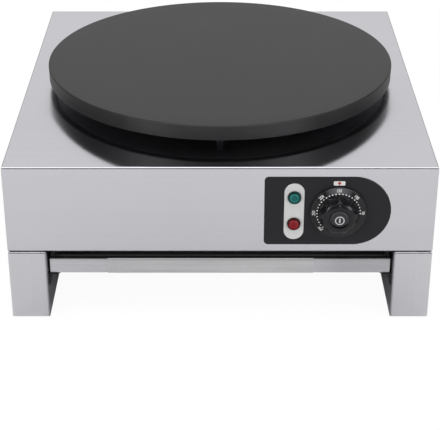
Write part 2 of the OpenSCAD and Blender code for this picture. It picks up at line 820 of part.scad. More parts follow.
module control_fascia() {
  color([0.12, 0.12, 0.13]) difference() {
    translate([fascia_left, front, fascia_low]) rotate([90, 0, 0]) linear_extrude(fascia_t) fascia_2d();
    translate([lamp_x, front + past, panel_z]) rotate([90, 0, 0]) linear_extrude(fascia_t + 2 * past)
      slot_2d(lamp_plate_w + 2 * fit_gap, lamp_plate_h + 2 * fit_gap);
    translate([knob_x, 0, knob_z]) rod_y(fascia_face - past, front + past, shaft_d / 2 + 2 * shaft_room);
    at_thermo_screws() rod_y(fascia_face - past, front + past, thermo_head_r + 2 * fit_gap);
  }
}

module lamp_plate() {
  color("whitesmoke") difference() {
    translate([lamp_x, front, panel_z]) rotate([90, 0, 0])
      linear_extrude(fascia_t + lamp_plate_proud) slot_2d(lamp_plate_w, lamp_plate_h);
    at_lamps() rod_y(fascia_face - lamp_plate_proud - past, front + past, lens_d / 2 + fit_gap);
  }
}

// Lens: disc against the housing's face with a low bevelled crown
module lens() {
  translate([lamp_x, front, 0]) rotate([90, 0, 0]) {
    cylinder(h = lens_t, d = lens_d);
    translate([0, 0, lens_t]) cylinder(h = lens_crown, d1 = lens_d - 1, d2 = lens_d / 2);
  }
}

module green_lens() {
  color("seagreen") translate([0, 0, lamp_zs[0]]) lens();
}

module red_lens() {
  color("firebrick") translate([0, 0, lamp_zs[1]]) lens();
}

module lamp_bodies() {
  lamp_back = wall_front + lamp_body_len;
  color("white") at_lamps() {
    rod_y(front, lamp_back, lamp_body_d / 2);
    for (s = [-1, 1]) translate([s * lamp_body_d / 4 - spade_t / 2, lamp_back - past, -spade_w / 4])
      cube([spade_t, spade_len + past, spade_w / 2]);
  }
}

module lamp_nuts() {
  color("black") at_lamps() difference() {
    rod_y(wall_front, wall_front + lamp_nut_t, lamp_nut_d / 2);
    rod_y(wall_front - past, wall_front + lamp_nut_t + past, lamp_body_d / 2 + run_gap);
  }
}

// Thermostat: bracket against the panel, block behind it, two spade terminals at the back
module thermostat_body() {
  color("beige") difference() {
    translate([knob_x, wall_front, knob_z]) {
      translate([-thermo_w / 2, 0, -thermo_h / 3]) cube([thermo_w, thermo_bracket_t, 2 * thermo_h / 3]);
      translate([-thermo_w / 3, 0, -thermo_h / 2]) cube([2 * thermo_w / 3, thermo_d, thermo_h]);
      for (s = [-1, 1]) translate([s * spade_x - spade_t / 2, thermo_d - past, -spade_w / 2])
        cube([spade_t, spade_len + past, spade_w]);
    }
    translate([knob_x, 0, knob_z])
      rod_y(wall_front - past, wall_front + bearing_depth, shaft_d / 2 + run_gap);
    at_thermo_screws()
      rod_y(wall_front - past, wall_front + thermo_screw_d + past, thermo_screw_d / 2 + run_gap);
  }
}

module thermostat_screws() {
  color("lightgray") at_thermo_screws() {
    rod_y(front - thermo_head_t, front, thermo_head_r);
    rod_y(front - past / 2, wall_front + thermo_screw_d, thermo_screw_d / 2);
  }
}

// Outline of the shaft: round with one flat where the knob grips it
module shaft_flat_2d(r) {
  difference() {
    circle(r = r);
    translate([-r, r - flat_depth]) square([2 * r, flat_depth + past]);
  }
}

module thermostat_shaft() {
  tip = knob_base - bore_depth + run_gap;
  color("lightgray") translate([knob_x, 0, knob_z]) {
    rod_y(knob_base, wall_front + bearing_depth - run_gap, shaft_d / 2);
    translate([0, knob_base + past, 0]) rotate([90, 0, 0])
      linear_extrude(knob_base + past - tip) shaft_flat_2d(shaft_d / 2);
  }
}

// Knob: bevelled skirt for the numbers and a tapered, fluted grip with a domed front
module dial_knob() {
  taper = atan((grip_d - grip_front_d) / 2 / (grip_h - skirt_rise));
  flute_r = PI * grip_d / flutes / flute_spread;
  land_r = cap_d / 2 + cap_land;
  dome = [for (k = [0:dome_steps]) let (t = 90 * k / dome_steps)
    [land_r + (grip_front_d / 2 - land_r) * cos(t), grip_h + (knob_h - grip_h) * sin(t)]];
  color([0.1, 0.1, 0.1]) translate([knob_x, knob_base, knob_z]) rotate([90, 0, 0]) difference() {
    rotate_extrude() polygon(concat(
      [[0, 0], [skirt_d / 2, 0], [skirt_d / 2, skirt_edge], [grip_d / 2, skirt_rise]], dome, [[0, knob_h]]
    ));
    for (k = [0:flutes - 1]) rotate([0, 0, (k + 0.5) * 360 / flutes])
      translate([grip_d / 2 - flute_depth, 0, skirt_rise + past]) rotate([0, -taper, 0])
      translate([flute_r, 0, 0]) cylinder(h = knob_h, r = flute_r);
    translate([0, 0, -past]) linear_extrude(bore_depth + past) shaft_flat_2d(shaft_d / 2 + run_gap);
    translate([0, 0, knob_h - cap_seat]) cylinder(h = cap_t, r = cap_d / 2 + fit_gap);
  }
}

module knob_cap() {
  color([0.16, 0.16, 0.17]) translate([knob_x, knob_base - knob_h + cap_seat, knob_z])
    rotate([90, 0, 0]) {
      cylinder(h = cap_t - cap_bevel, d = cap_d);
      translate([0, 0, cap_t - cap_bevel]) cylinder(h = cap_bevel, d1 = cap_d, d2 = cap_d - 2 * cap_bevel);
    }
}

module pointer_tab() {
  color("whitesmoke") translate([knob_x - tab_w / 2, fascia_face, knob_z + skirt_d / 2 + tab_gap])
    rotate([90, 0, 0]) linear_extrude(tab_face_t) round_rect(tab_w, tab_h, tab_h / 4);
}

// Three-pole terminal block on the pan, with a wire hole and a screw well for each pole
module terminal_block() {
  color("ivory") difference() {
    translate([block_x - block_w / 2, block_y - block_d / 2, shell0]) cube([block_w, block_d, block_h]);
    for (x = pole_xs) translate([x, 0, pole_z])
      rod_y(block_y - block_d / 2 - past, block_y + block_d / 2 + past, pole_hole_r);
    for (x = pole_xs) translate([x, block_y, well_z])
      cylinder(h = block_h, r = pole_hole_r + fit_gap);
  }
}

module terminal_screws() {
  color("gold") for (x = pole_xs) translate([x, block_y, well_z])
    cylinder(h = block_h / 4, r = pole_hole_r);
}

// Rear tips of the thermostat's and the lamps' spade terminals
function thermo_tip(s) = [knob_x + s * spade_x, thermo_back + spade_len + wire_end_gap, knob_z];
function lamp_tip(i, s) =
  [lamp_x + s * lamp_body_d / 4, wall_front + lamp_body_len + spade_len + wire_end_gap, lamp_zs[i]];
function cold_tip(i) = [cold_ends[i].x, cold_ends[i].y, cold_end_low - wire_end_gap];
function pole_in(k, dx) = [pole_xs[k] + dx, block_y - block_d / 4, pole_z];

// First points of a wire or tube that leaves its terminal straight along a direction
function lead(p, along) = [for (s = [0, 4, 10]) p + s * along];
function pole_end(pole) = [for (s = [1.5, 1, 0]) pole - [0, s * block_d, 0]];

// Wire from a spade tip into a pole of the block, hanging low in between
module pole_wire(tip, pole, low) {
  tube(spline(concat(lead(tip, [0, 1, 0]),
    [[tip.x, tip.y + 40, low], [pole.x, pole.y - block_d - 60, low]], pole_end(pole))), wire_d);
}

module live_wires() {
  drop = cold_tip(0);
  tip = thermo_tip(-1);
  color("saddlebrown") {
    pole_wire(thermo_tip(1), pole_in(0, -wire_side), wire_lows[0]);
    pole_wire(lamp_tip(0, 1), pole_in(0, wire_side), wire_lows[1]);
    tube(spline(concat(lead(tip, [0, 1, 0]), [[tip.x - 20, tip.y + 60, shell_top - 34],
      [drop.x + 30, drop.y - 40, shell_top - 44]], reversed(lead(drop, [0, 0, -1])))), wire_d);
  }
}

module neutral_wires() {
  drop = cold_tip(1);
  pole = pole_in(1, -wire_side);
  color("royalblue") {
    pole_wire(lamp_tip(0, -1), pole_in(1, wire_side), wire_lows[2]);
    tube(spline(concat(lead(drop, [0, 0, -1]),
      [[(drop.x + pole.x) / 2, (drop.y + pole.y) / 2, shell0 + 46],
      [pole.x, pole.y - block_d - 40, shell0 + 18]], pole_end(pole))), wire_d);
  }
}

module earth_wire() {
  pole = pole_in(2, 0);
  start = [earth_x, block_y - earth_nut_af / 2 - wire_end_gap, earth_nut_z + earth_nut_h / 2];
  color("yellowgreen") tube(spline(concat(lead(start, [0, -1, 0]),
    [[earth_x - 4, pole.y - block_d - 26, pole_z + 2]], pole_end(pole))), wire_d);
}

module earth_stud() {
  color("lightgray") translate([earth_x, block_y, shell0]) {
    cylinder(h = earth_h, d = earth_d);
    cylinder(h = earth_flange_t, d = 2 * earth_d);
  }
}

module earth_nut() {
  color("gold") translate([earth_x, block_y, earth_nut_z]) difference() {
    hex_z(earth_nut_af, earth_nut_h);
    translate([0, 0, -past]) cylinder(h = earth_nut_h + 2 * past, r = earth_d / 2 + run_gap);
  }
}

// Gland: hexagon outside, thread both ways, bore for the cord
module cable_gland() {
  color([0.15, 0.15, 0.15]) translate([gland_x, 0, gland_z]) difference() {
    union() {
      translate([0, back + gland_flange_t, 0]) rotate([90, 0, 0]) hex_z(2 * gland_hex_r, gland_flange_t);
      rod_y(wall_back - gland_tail, gland_thread_end, gland_d / 2);
    }
    rod_y(wall_back - gland_tail - past, gland_thread_end + past, gland_bore_r);
  }
}

module gland_seal() {
  color("dimgray") translate([gland_x, 0, gland_z]) difference() {
    rod_y(seal0, seal0 + seal_len, gland_bore_r - fit_gap);
    rod_y(seal0 - past, seal0 + seal_len + past, cord_d / 2);
  }
}

// Cap nut: hexagon at the wall, round taper to the mouth
module gland_nut() {
  hex_len = (gland_tip - gland_nut0) / 2;
  mouth_r = cord_d / 2 + gland_wall / 2;
  color([0.15, 0.15, 0.15]) translate([gland_x, 0, gland_z]) difference() {
    union() {
      translate([0, gland_nut0 + hex_len, 0]) rotate([90, 0, 0]) hex_z(2 * gland_nut_r, hex_len);
      translate([0, gland_nut0 + hex_len - past, 0]) rotate([-90, 0, 0])
        cylinder(h = gland_tip - gland_nut0 - hex_len + past, r1 = gland_nut_r, r2 = mouth_r + gland_wall);
    }
    rod_y(gland_nut0 - past, gland_thread_end + fit_gap, gland_d / 2 + run_gap);
    rod_y(gland_nut0, seal0 + seal_len + fit_gap, gland_bore_r);
    rod_y(gland_nut0, gland_tip + past, mouth_r);
  }
}

module gland_locknut() {
  color([0.15, 0.15, 0.15]) translate([gland_x, 0, gland_z]) difference() {
    translate([0, wall_back, 0]) rotate([90, 0, 0]) hex_z(2 * gland_nut_r, locknut_t);
    rod_y(wall_back - locknut_t - past, wall_back + past, gland_d / 2 + run_gap);
  }
}

housing_shell();
base_pan();
left_leg();
right_leg();
foot_pads();
left_rail();
right_rail();
rail_rivets();
base_screws();
base_nuts();
drawer_tray();
drawer_pull();
griddle_plate();
heating_element();
insulation_disc();
heat_shield();
plate_studs();
post_sleeves();
plate_washers();
plate_nuts();
terminal_bushes();
sensor_bulb();
sensor_clip();
clip_screws();
capillary_tube();
control_fascia();
lamp_plate();
green_lens();
red_lens();
lamp_bodies();
lamp_nuts();
thermostat_body();
thermostat_screws();
thermostat_shaft();
dial_knob();
knob_cap();
pointer_tab();
terminal_block();
terminal_screws();
live_wires();
neutral_wires();
earth_wire();
earth_stud();
earth_nut();
cable_gland();
gland_seal();
gland_nut();
gland_locknut();
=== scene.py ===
import math

import bmesh
import bpy
import numpy as np
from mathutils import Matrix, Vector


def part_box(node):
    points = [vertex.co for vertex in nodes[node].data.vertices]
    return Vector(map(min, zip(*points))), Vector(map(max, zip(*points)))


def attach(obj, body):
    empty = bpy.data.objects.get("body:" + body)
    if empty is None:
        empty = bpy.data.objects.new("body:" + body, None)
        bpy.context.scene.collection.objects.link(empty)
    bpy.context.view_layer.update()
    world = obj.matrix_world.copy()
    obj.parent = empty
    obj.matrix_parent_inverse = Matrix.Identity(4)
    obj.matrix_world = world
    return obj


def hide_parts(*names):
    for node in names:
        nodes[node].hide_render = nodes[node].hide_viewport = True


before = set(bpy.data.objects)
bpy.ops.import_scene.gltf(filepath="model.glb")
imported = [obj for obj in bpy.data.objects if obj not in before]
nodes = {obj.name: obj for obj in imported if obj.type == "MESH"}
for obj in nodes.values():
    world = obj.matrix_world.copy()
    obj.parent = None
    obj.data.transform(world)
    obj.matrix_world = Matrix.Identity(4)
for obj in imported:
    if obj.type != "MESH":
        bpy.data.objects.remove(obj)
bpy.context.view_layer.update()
scene = bpy.context.scene
scene.view_settings.view_transform = "Standard"
mm = 0.001
print("frame loaded with", len(nodes), "nodes")


def span(node):  # lowest and highest corner of a node, as arrays in metres
    low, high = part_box(node)
    return np.array(low), np.array(high)


def linear(red, green, blue):  # display values 0 to 255 into the shader's own
    c = np.array([red, green, blue]) / 255
    return (*np.where(c <= 0.04045, c / 12.92, ((c + 0.055) / 1.055) ** 2.4), 1.0)


# Shader nodes, each made in one line and giving the socket that is used
def addNode(tree, kind, inputs=None, **settings):
    node = tree.nodes.new(kind)
    for key, value in settings.items():
        setattr(node, key, value)
    for key, value in (inputs or {}).items():
        if isinstance(value, bpy.types.NodeSocket):
            tree.links.new(value, node.inputs[key])
        else:
            node.inputs[key].default_value = value
    return node


def maths(tree, operation, *values):
    return addNode(tree, "ShaderNodeMath", dict(enumerate(values)), operation=operation).outputs[0]


def mapped(tree, value, start, stop, low=0.0, high=1.0):  # start to stop becomes low to high
    inputs = {0: value, 1: start, 2: stop, 3: low, 4: high}
    return addNode(tree, "ShaderNodeMapRange", inputs).outputs[0]


def mixedTone(tree, share, first, second, blend="MIX"):
    inputs = {0: share, 6: first, 7: second}
    return addNode(tree, "ShaderNodeMix", inputs, data_type="RGBA", blend_type=blend).outputs[2]


def noise(tree, vector, scale, detail, rough=0.5):
    inputs = {"Vector": vector, "Scale": scale, "Detail": detail, "Roughness": rough}
    return addNode(tree, "ShaderNodeTexNoise", inputs).outputs[0]


def axisOf(tree, vector, axis):  # 0, 1 or 2 for x, y or z
    return addNode(tree, "ShaderNodeSeparateXYZ", {0: vector}).outputs[axis]


def lengthOf(tree, vector):
    return addNode(tree, "ShaderNodeVectorMath", {0: vector}, operation="LENGTH").outputs["Value"]


def surfaceFact(tree, label):
    return addNode(tree, "ShaderNodeNewGeometry").outputs[label]


def stretched(tree, coords, scale, centre=(0, 0, 0)):
    shift = [-c * s for c, s in zip(centre, scale)]
    inputs = {"Vector": coords, "Location": shift, "Scale": scale}
    return addNode(tree, "ShaderNodeMapping", inputs).outputs[0]


# Camera, floor and light
viewSet = {"place": (0, -1.48336, 0.77787), "pitch": 27.7165, "lens": 109.97, "nearest": 0.05}
floorSet = {"size": 12.0, "drop": 0.05 * mm, "colour": (0.92, 0.92, 0.92, 1), "shadow": 0.08, "glow": 1.03}
fillSet = {"aim": (0, -0.2, 0.12), "size": (0.9, 0.9), "watts": 18}
lampSet = {
    "softbox": {"place": (0.0, -0.75, 2.3), "aim": (0, -0.2, 0.15), "size": (2.4, 1.0), "watts": 16},
    "fillLeft": {"place": (-1.6, -1.75, 0.85), **fillSet},
    "fillRight": {"place": (1.6, -1.75, 0.85), **fillSet},
}
skySet = {"level": 0.91, "dark": 0.12, "low": 0.8, "high": 0.88, "back": 0.65, "front": 0.4,
          "rim": 0.25, "rimLow": 0.1, "rimHigh": 0.2}


def makeCamera():
    data = bpy.data.cameras.new("photoView")
    data.lens = viewSet["lens"]
    data.clip_start = viewSet["nearest"]
    camera = bpy.data.objects.new("photoView", data)
    camera.location = viewSet["place"]
    camera.rotation_euler = (math.radians(90 - viewSet["pitch"]), 0, 0)
    scene.collection.objects.link(camera)
    scene.camera = camera


def makeFloor():  # seen as white with a faint shadow, clear when seen from under it
    corners = np.array([[-1, -1], [1, -1], [1, 1], [-1, 1]]) * floorSet["size"] / 2
    mesh = bpy.data.meshes.new("floor")
    mesh.from_pydata([(x, y, -floorSet["drop"]) for x, y in corners], [], [(0, 1, 2, 3)])
    floor = bpy.data.objects.new("floor", mesh)
    scene.collection.objects.link(floor)
    material = bpy.data.materials.new("paleFloor")
    material.use_nodes = True
    tree = material.node_tree
    tree.nodes.clear()
    matt = addNode(tree, "ShaderNodeBsdfDiffuse", {"Color": floorSet["colour"]}).outputs[0]
    white = addNode(tree, "ShaderNodeEmission", {"Strength": floorSet["glow"]}).outputs[0]
    ray = addNode(tree, "ShaderNodeLightPath").outputs["Is Camera Ray"]
    seen = maths(tree, "MULTIPLY", ray, 1 - floorSet["shadow"])
    both = addNode(tree, "ShaderNodeMixShader", {0: seen, 1: matt, 2: white}).outputs[0]
    clear = addNode(tree, "ShaderNodeBsdfTransparent").outputs[0]
    below = surfaceFact(tree, "Backfacing")
    either = addNode(tree, "ShaderNodeMixShader", {0: below, 1: both, 2: clear}).outputs[0]
    addNode(tree, "ShaderNodeOutputMaterial", {"Surface": either})
    mesh.materials.append(material)


def makeLamps():
    for name, lamp in lampSet.items():
        data = bpy.data.lights.new(name, "AREA")
        data.shape = "RECTANGLE"
        data.size, data.size_y = lamp["size"]
        data.energy = lamp["watts"]
        light = bpy.data.objects.new(name, data)
        light.location = lamp["place"]
        aim = bpy.data.objects.new(name + "Aim", None)
        aim.location = lamp["aim"]
        scene.collection.objects.link(aim)
        track = light.constraints.new("TRACK_TO")
        track.target = aim
        track.track_axis, track.up_axis = "TRACK_NEGATIVE_Z", "UP_Y"
        scene.collection.objects.link(light)


def makeSky():  # even white, dark low down on the camera's side, grey along the horizon
    s = skySet
    world = bpy.data.worlds.new("softRoom")
    world.use_nodes = True
    scene.world = world
    tree = world.node_tree
    tree.nodes.clear()
    coords = addNode(tree, "ShaderNodeTexCoord").outputs["Generated"]
    back, up = axisOf(tree, coords, 1), axisOf(tree, coords, 2)
    mask = maths(tree, "MULTIPLY", mapped(tree, back, s["back"], s["front"]),
                 mapped(tree, up, s["high"], s["low"]))
    rim = mapped(tree, up, s["rimLow"], s["rimHigh"], s["rim"], s["level"])
    level = addNode(tree, "ShaderNodeMix", {0: mask, 2: rim, 3: s["dark"]}).outputs[0]
    sky = addNode(tree, "ShaderNodeBackground", {"Color": (1, 1, 1, 1), "Strength": level}).outputs[0]
    addNode(tree, "ShaderNodeOutputWorld", {"Surface": sky})


makeCamera()
makeFloor()
makeLamps()
makeSky()
print("camera, floor and light are set")

# Shared effects, each a node group that puts out what varies over a surface
finishInputs = [("Light", "Color", (1, 1, 1, 1)), ("Dark", "Color", (0, 0, 0, 1)),
                ("Smooth", "Float", 0.2), ("Rough", "Float", 0.3)]
finishOutputs = [("Colour", "Color"), ("Roughness", "Float"), ("Height", "Float")]
bumpDepth = 0.1 * mm


def startGroup(name, inputs):
    group = bpy.data.node_groups.new(name, "ShaderNodeTree")
    for label, kind, value in inputs + finishInputs:
        socket = group.interface.new_socket(label, in_out="INPUT", socket_type="NodeSocket" + kind)
        socket.default_value = value
    for label, kind in finishOutputs:
        group.interface.new_socket(label, in_out="OUTPUT", socket_type="NodeSocket" + kind)
    return group, addNode(group, "NodeGroupInput").outputs, addNode(group, "NodeGroupOutput").inputs


def endGroup(group, start, end, mask, cloud, height):  # colours by one mask, roughness by another
    rough = addNode(group, "ShaderNodeMix", {0: cloud, 2: start["Smooth"], 3: start["Rough"]}).outputs[0]
    group.links.new(mixedTone(group, mask, start["Dark"], start["Light"]), end["Colour"])
    group.links.new(rough, end["Roughness"])
    group.links.new(height, end["Height"])
    return group


# Noises are scale, detail and roughness, but the moulded fine one has its scale from the finish
brushedLook = {"fine": (1.0, 4.0, 0.65), "streak": (0.27, 2.0), "broad": (6.0, 2.0), "streakShare": 1.6,
               "mask": (0.75, 1.85), "smearAxis": (1.0, 0.01, 0.0), "sideLimit": 0.7}
mouldedLook = {"fine": (3.0, 0.6), "cloud": (22.0, 3.0), "mask": (0.65, 1.35)}


def makeBrushedGroup():  # fine scratches along the grain over broad soft patches
    b = brushedLook
    vectors = [("Grain", "Vector", (0, 0, 0)), ("Patch", "Vector", (0, 0, 0))]
    group, start, end = startGroup("brushedFinish", vectors)
    fine = noise(group, start["Grain"], *b["fine"])
    streak = noise(group, start["Grain"], *b["streak"])
    broad = noise(group, start["Patch"], *b["broad"])
    mask = mapped(group, maths(group, "MULTIPLY_ADD", streak, b["streakShare"], broad), *b["mask"])
    return endGroup(group, start, end, mask, mask, fine)


def makeMouldedGroup():  # small pimples of a mould or casting over faint clouds
    m = mouldedLook
    inputs = [("Vector", "Vector", (0, 0, 0)), ("Scale", "Float", 900.0)]
    group, start, end = startGroup("mouldedGrain", inputs)
    fine = noise(group, start["Vector"], start["Scale"], *m["fine"])
    cloud = noise(group, start["Vector"], *m["cloud"])
    mask = mapped(group, maths(group, "ADD", fine, cloud), *m["mask"])
    return endGroup(group, start, end, mask, cloud, fine)


brushedFinish = makeBrushedGroup()
mouldedGrain = makeMouldedGroup()


def startMaterial(name, metallic=0.0, specular=0.5):
    material = bpy.data.materials.new(name)
    material.use_nodes = True
    tree = material.node_tree
    shader = tree.nodes["Principled BSDF"]
    shader.inputs["Metallic"].default_value = metallic
    shader.inputs["Specular IOR Level"].default_value = specular
    return material, tree, shader, addNode(tree, "ShaderNodeTexCoord").outputs["Object"]


def placeEffect(tree, group, inputs, light, dark, rough):
    tones = {"Light": linear(*light), "Dark": linear(*dark), "Smooth": rough[0], "Rough": rough[1]}
    return addNode(tree, "ShaderNodeGroup", {**inputs, **tones}, node_tree=group).outputs


def joinShader(tree, shader, colour, rough, height, strength, under=None):
    bump = addNode(tree, "ShaderNodeBump", {"Strength": strength, "Distance": bumpDepth, "Height": height})
    if under:
        tree.links.new(under, bump.inputs["Normal"])
    tree.links.new(colour, shader.inputs["Base Color"])
    tree.links.new(rough, shader.inputs["Roughness"])
    tree.links.new(bump.outputs[0], shader.inputs["Normal"])


def away(tree, coords, axis, start, stop):  # 0 to 1 as the way from the middle goes from start to stop
    return mapped(tree, maths(tree, "ABSOLUTE", axisOf(tree, coords, axis)), start, stop)


def banded(tree, coords, axis, stops):  # grey tones at places along an axis, blended between them
    first, last = stops[0][0], stops[-1][0]
    ramp = addNode(tree, "ShaderNodeValToRGB", {0: mapped(tree, axisOf(tree, coords, axis), first, last)})
    marks = ramp.color_ramp.elements
    marks[0].color, marks[1].color = linear(*[stops[0][1]] * 3), linear(*[stops[-1][1]] * 3)
    for where, tone in stops[1:-1]:
        marks.new((where - first) / (last - first)).color = linear(tone, tone, tone)
    return ramp.outputs[0]


def brushed(name, light, dark, rough, grain, sideGrain=None, bump=0.05, sag=None, dullAndShaded=None, smear=None,
            paintedShadeBands=()):
    material, tree, shader, coords = startMaterial(name, metallic=1.0)
    if smear:  # brushing spreads a reflection more to the left and right than up and down
        shader.inputs["Anisotropic"].default_value = smear
        smearAxis = dict(enumerate(brushedLook["smearAxis"]))
        across = addNode(tree, "ShaderNodeCombineXYZ", smearAxis).outputs[0]
        tree.links.new(across, shader.inputs["Tangent"])
    along = stretched(tree, coords, grain)
    if sideGrain:  # faces that look left or right carry a direction of their own
        sideways = maths(tree, "ABSOLUTE", axisOf(tree, surfaceFact(tree, "Normal"), 0))
        side = maths(tree, "GREATER_THAN", sideways, brushedLook["sideLimit"])
        along = addNode(tree, "ShaderNodeMix", {0: side, 4: along, 5: stretched(tree, coords, sideGrain)},
                        data_type="VECTOR").outputs[1]
    out = placeEffect(tree, brushedFinish, {"Grain": along, "Patch": coords}, light, dark, rough)
    colour, roughness, under = out["Colour"], out["Roughness"], None
    if sag:  # the sheet curves a little towards its folds, as the square of the way
        height = maths(tree, "POWER", away(tree, coords, 1, sag["start"], sag["stop"]), 2.0)
        under = addNode(tree, "ShaderNodeBump",
                        {"Strength": 1.0, "Distance": sag["depth"], "Height": height}).outputs[0]
    if dullAndShaded:  # inner faces get a rougher finish and a darker tone; the darker tone is painted shade
        inner = away(tree, coords, dullAndShaded["axis"], dullAndShaded["stop"], dullAndShaded["start"])
        colour = mixedTone(tree, inner, colour, linear(*dullAndShaded["tone"]), "MULTIPLY")
        roughness = maths(tree, "MULTIPLY_ADD", inner, dullAndShaded["rough"], roughness)
    for axis, stops in paintedShadeBands:  # painted shade: darker bands under overhangs and lips, and towards one side as a painted reflection
        colour = mixedTone(tree, 1.0, colour, banded(tree, coords, axis, stops), "MULTIPLY")
    joinShader(tree, shader, colour, roughness, out["Height"], bump, under)
    return material


def startMoulded(name, light, dark, rough, scale, specular, metallic=0.0):
    material, tree, shader, coords = startMaterial(name, metallic, specular)
    out = placeEffect(tree, mouldedGrain, {"Vector": coords, "Scale": scale}, light, dark, rough)
    return material, tree, shader, coords, out


def moulded(name, light, dark, rough, scale=900.0, bump=0.15, specular=0.5, metallic=0.0):
    material, tree, shader, _, out = startMoulded(name, light, dark, rough, scale, specular, metallic)
    joinShader(tree, shader, out["Colour"], out["Roughness"], out["Height"], bump)
    return material


ironLook = {"scale": 420.0, "specular": 0.42, "bump": 0.12, "ringWidth": 0.9 * mm, "ringShare": 0.35}


def castIron(name, light, dark, rough):  # seasoned iron with fine turning rings
    i = ironLook
    material, tree, shader, coords, out = startMoulded(name, light, dark, rough, i["scale"], i["specular"])
    radius = lengthOf(tree, stretched(tree, coords, (1, 1, 0)))
    wave = maths(tree, "SINE", maths(tree, "MULTIPLY", radius, 2 * math.pi / i["ringWidth"]))
    height = maths(tree, "MULTIPLY_ADD", wave, i["ringShare"], out["Height"])
    joinShader(tree, shader, out["Colour"], out["Roughness"], height, i["bump"])
    return material


# the last colour is a painted highlight on the skirt's top
knobLook = {"scale": 1300.0, "specular": 0.3, "bump": 0.04, "edge": 0.1 * mm, "front": (-0.85, -0.93),
            "rise": (0.25, 0.297), "paintedSheen": (92, 92, 95)}


def knobWithPaintedSheen(name, light, dark, rough, centre, neck):  # painted highlight: the skirt's top, where it faces up and forward, is painted lighter
    k = knobLook
    material, tree, shader, coords, out = startMoulded(name, light, dark, rough, k["scale"], k["specular"])
    reach = lengthOf(tree, stretched(tree, coords, (1, 0, 1), centre))
    normal = surfaceFact(tree, "True Normal")
    paintedSheenMask = maths(tree, "MULTIPLY", mapped(tree, reach, neck, neck + k["edge"]),
                mapped(tree, axisOf(tree, normal, 1), *k["front"]))
    paintedSheenMask = maths(tree, "MULTIPLY", paintedSheenMask, mapped(tree, axisOf(tree, normal, 2), *k["rise"]))
    colour = mixedTone(tree, paintedSheenMask, out["Colour"], linear(*k["paintedSheen"]))
    joinShader(tree, shader, colour, out["Roughness"], out["Height"], k["bump"])
    return material


# the two colours here are a painted highlight and a painted shade on the cap's edge
capLook = {"scale": 1300.0, "specular": 0.3, "paintedShadeSpecular": 0.02, "bump": 0.04, "above": (0.1, 0.42),
           "below": (-0.12, -0.24), "light": (60, 60, 64), "paintedShade": (5, 5, 7)}


def capWithPaintedShade(name, light, dark, rough):  # painted highlight where its edge faces up, painted shade and less gloss where it faces down
    c = capLook
    material, tree, shader, _, out = startMoulded(name, light, dark, rough, c["scale"], c["specular"])
    rise = axisOf(tree, surfaceFact(tree, "Normal"), 2)
    gloss = mapped(tree, rise, *c["below"], c["specular"], c["paintedShadeSpecular"])
    tree.links.new(gloss, shader.inputs["Specular IOR Level"])
    colour = mixedTone(tree, mapped(tree, rise, *c["above"]), out["Colour"], linear(*c["light"]))
    colour = mixedTone(tree, mapped(tree, rise, *c["below"]), colour, linear(*c["paintedShade"]))
    joinShader(tree, shader, colour, out["Roughness"], out["Height"], c["bump"])
    return material


# these set where the painted shade at the rim and the painted glow ring lie
lensLook = {"specular": 0.2, "bump": 0.08, "rough": (0.12, 0.3), "drop": 0.12, "rim": (0.93, 1.2),
            "cloudScale": 420.0, "cloudDetail": 2.0, "cloudShare": 0.5,
            "paintedGlowRing": 0.56, "crestFade": (0.16, 0.02), "crestShare": 0.7}


def tintedLensPaintedLight(name, light, dark, glow, centre, radius):  # painted shade darkens the rim, most at the top; a painted glow lightens the middle low down and in one ring
    g = lensLook
    material, tree, shader, coords = startMaterial(name, specular=g["specular"])
    paintedShadeCentre = (centre[0], centre[1], centre[2] - g["drop"] * radius)
    scale = (1 / radius, 0, 1 / radius)
    reach = lengthOf(tree, stretched(tree, coords, scale, paintedShadeCentre))
    way = lengthOf(tree, stretched(tree, coords, scale, centre))
    cloud = noise(tree, coords, g["cloudScale"], g["cloudDetail"])
    ripple = maths(tree, "MULTIPLY_ADD", cloud, g["cloudShare"], reach)
    colour = mixedTone(tree, mapped(tree, ripple, *g["rim"]), linear(*light), linear(*dark))
    aside = maths(tree, "ABSOLUTE", maths(tree, "SUBTRACT", way, g["paintedGlowRing"]))
    paintedGlowRing = mapped(tree, aside, *g["crestFade"], 0.0, g["crestShare"])
    colour = mixedTone(tree, paintedGlowRing, colour, linear(*glow))
    joinShader(tree, shader, colour, mapped(tree, cloud, 0.0, 1.0, *g["rough"]), cloud, g["bump"])
    return material
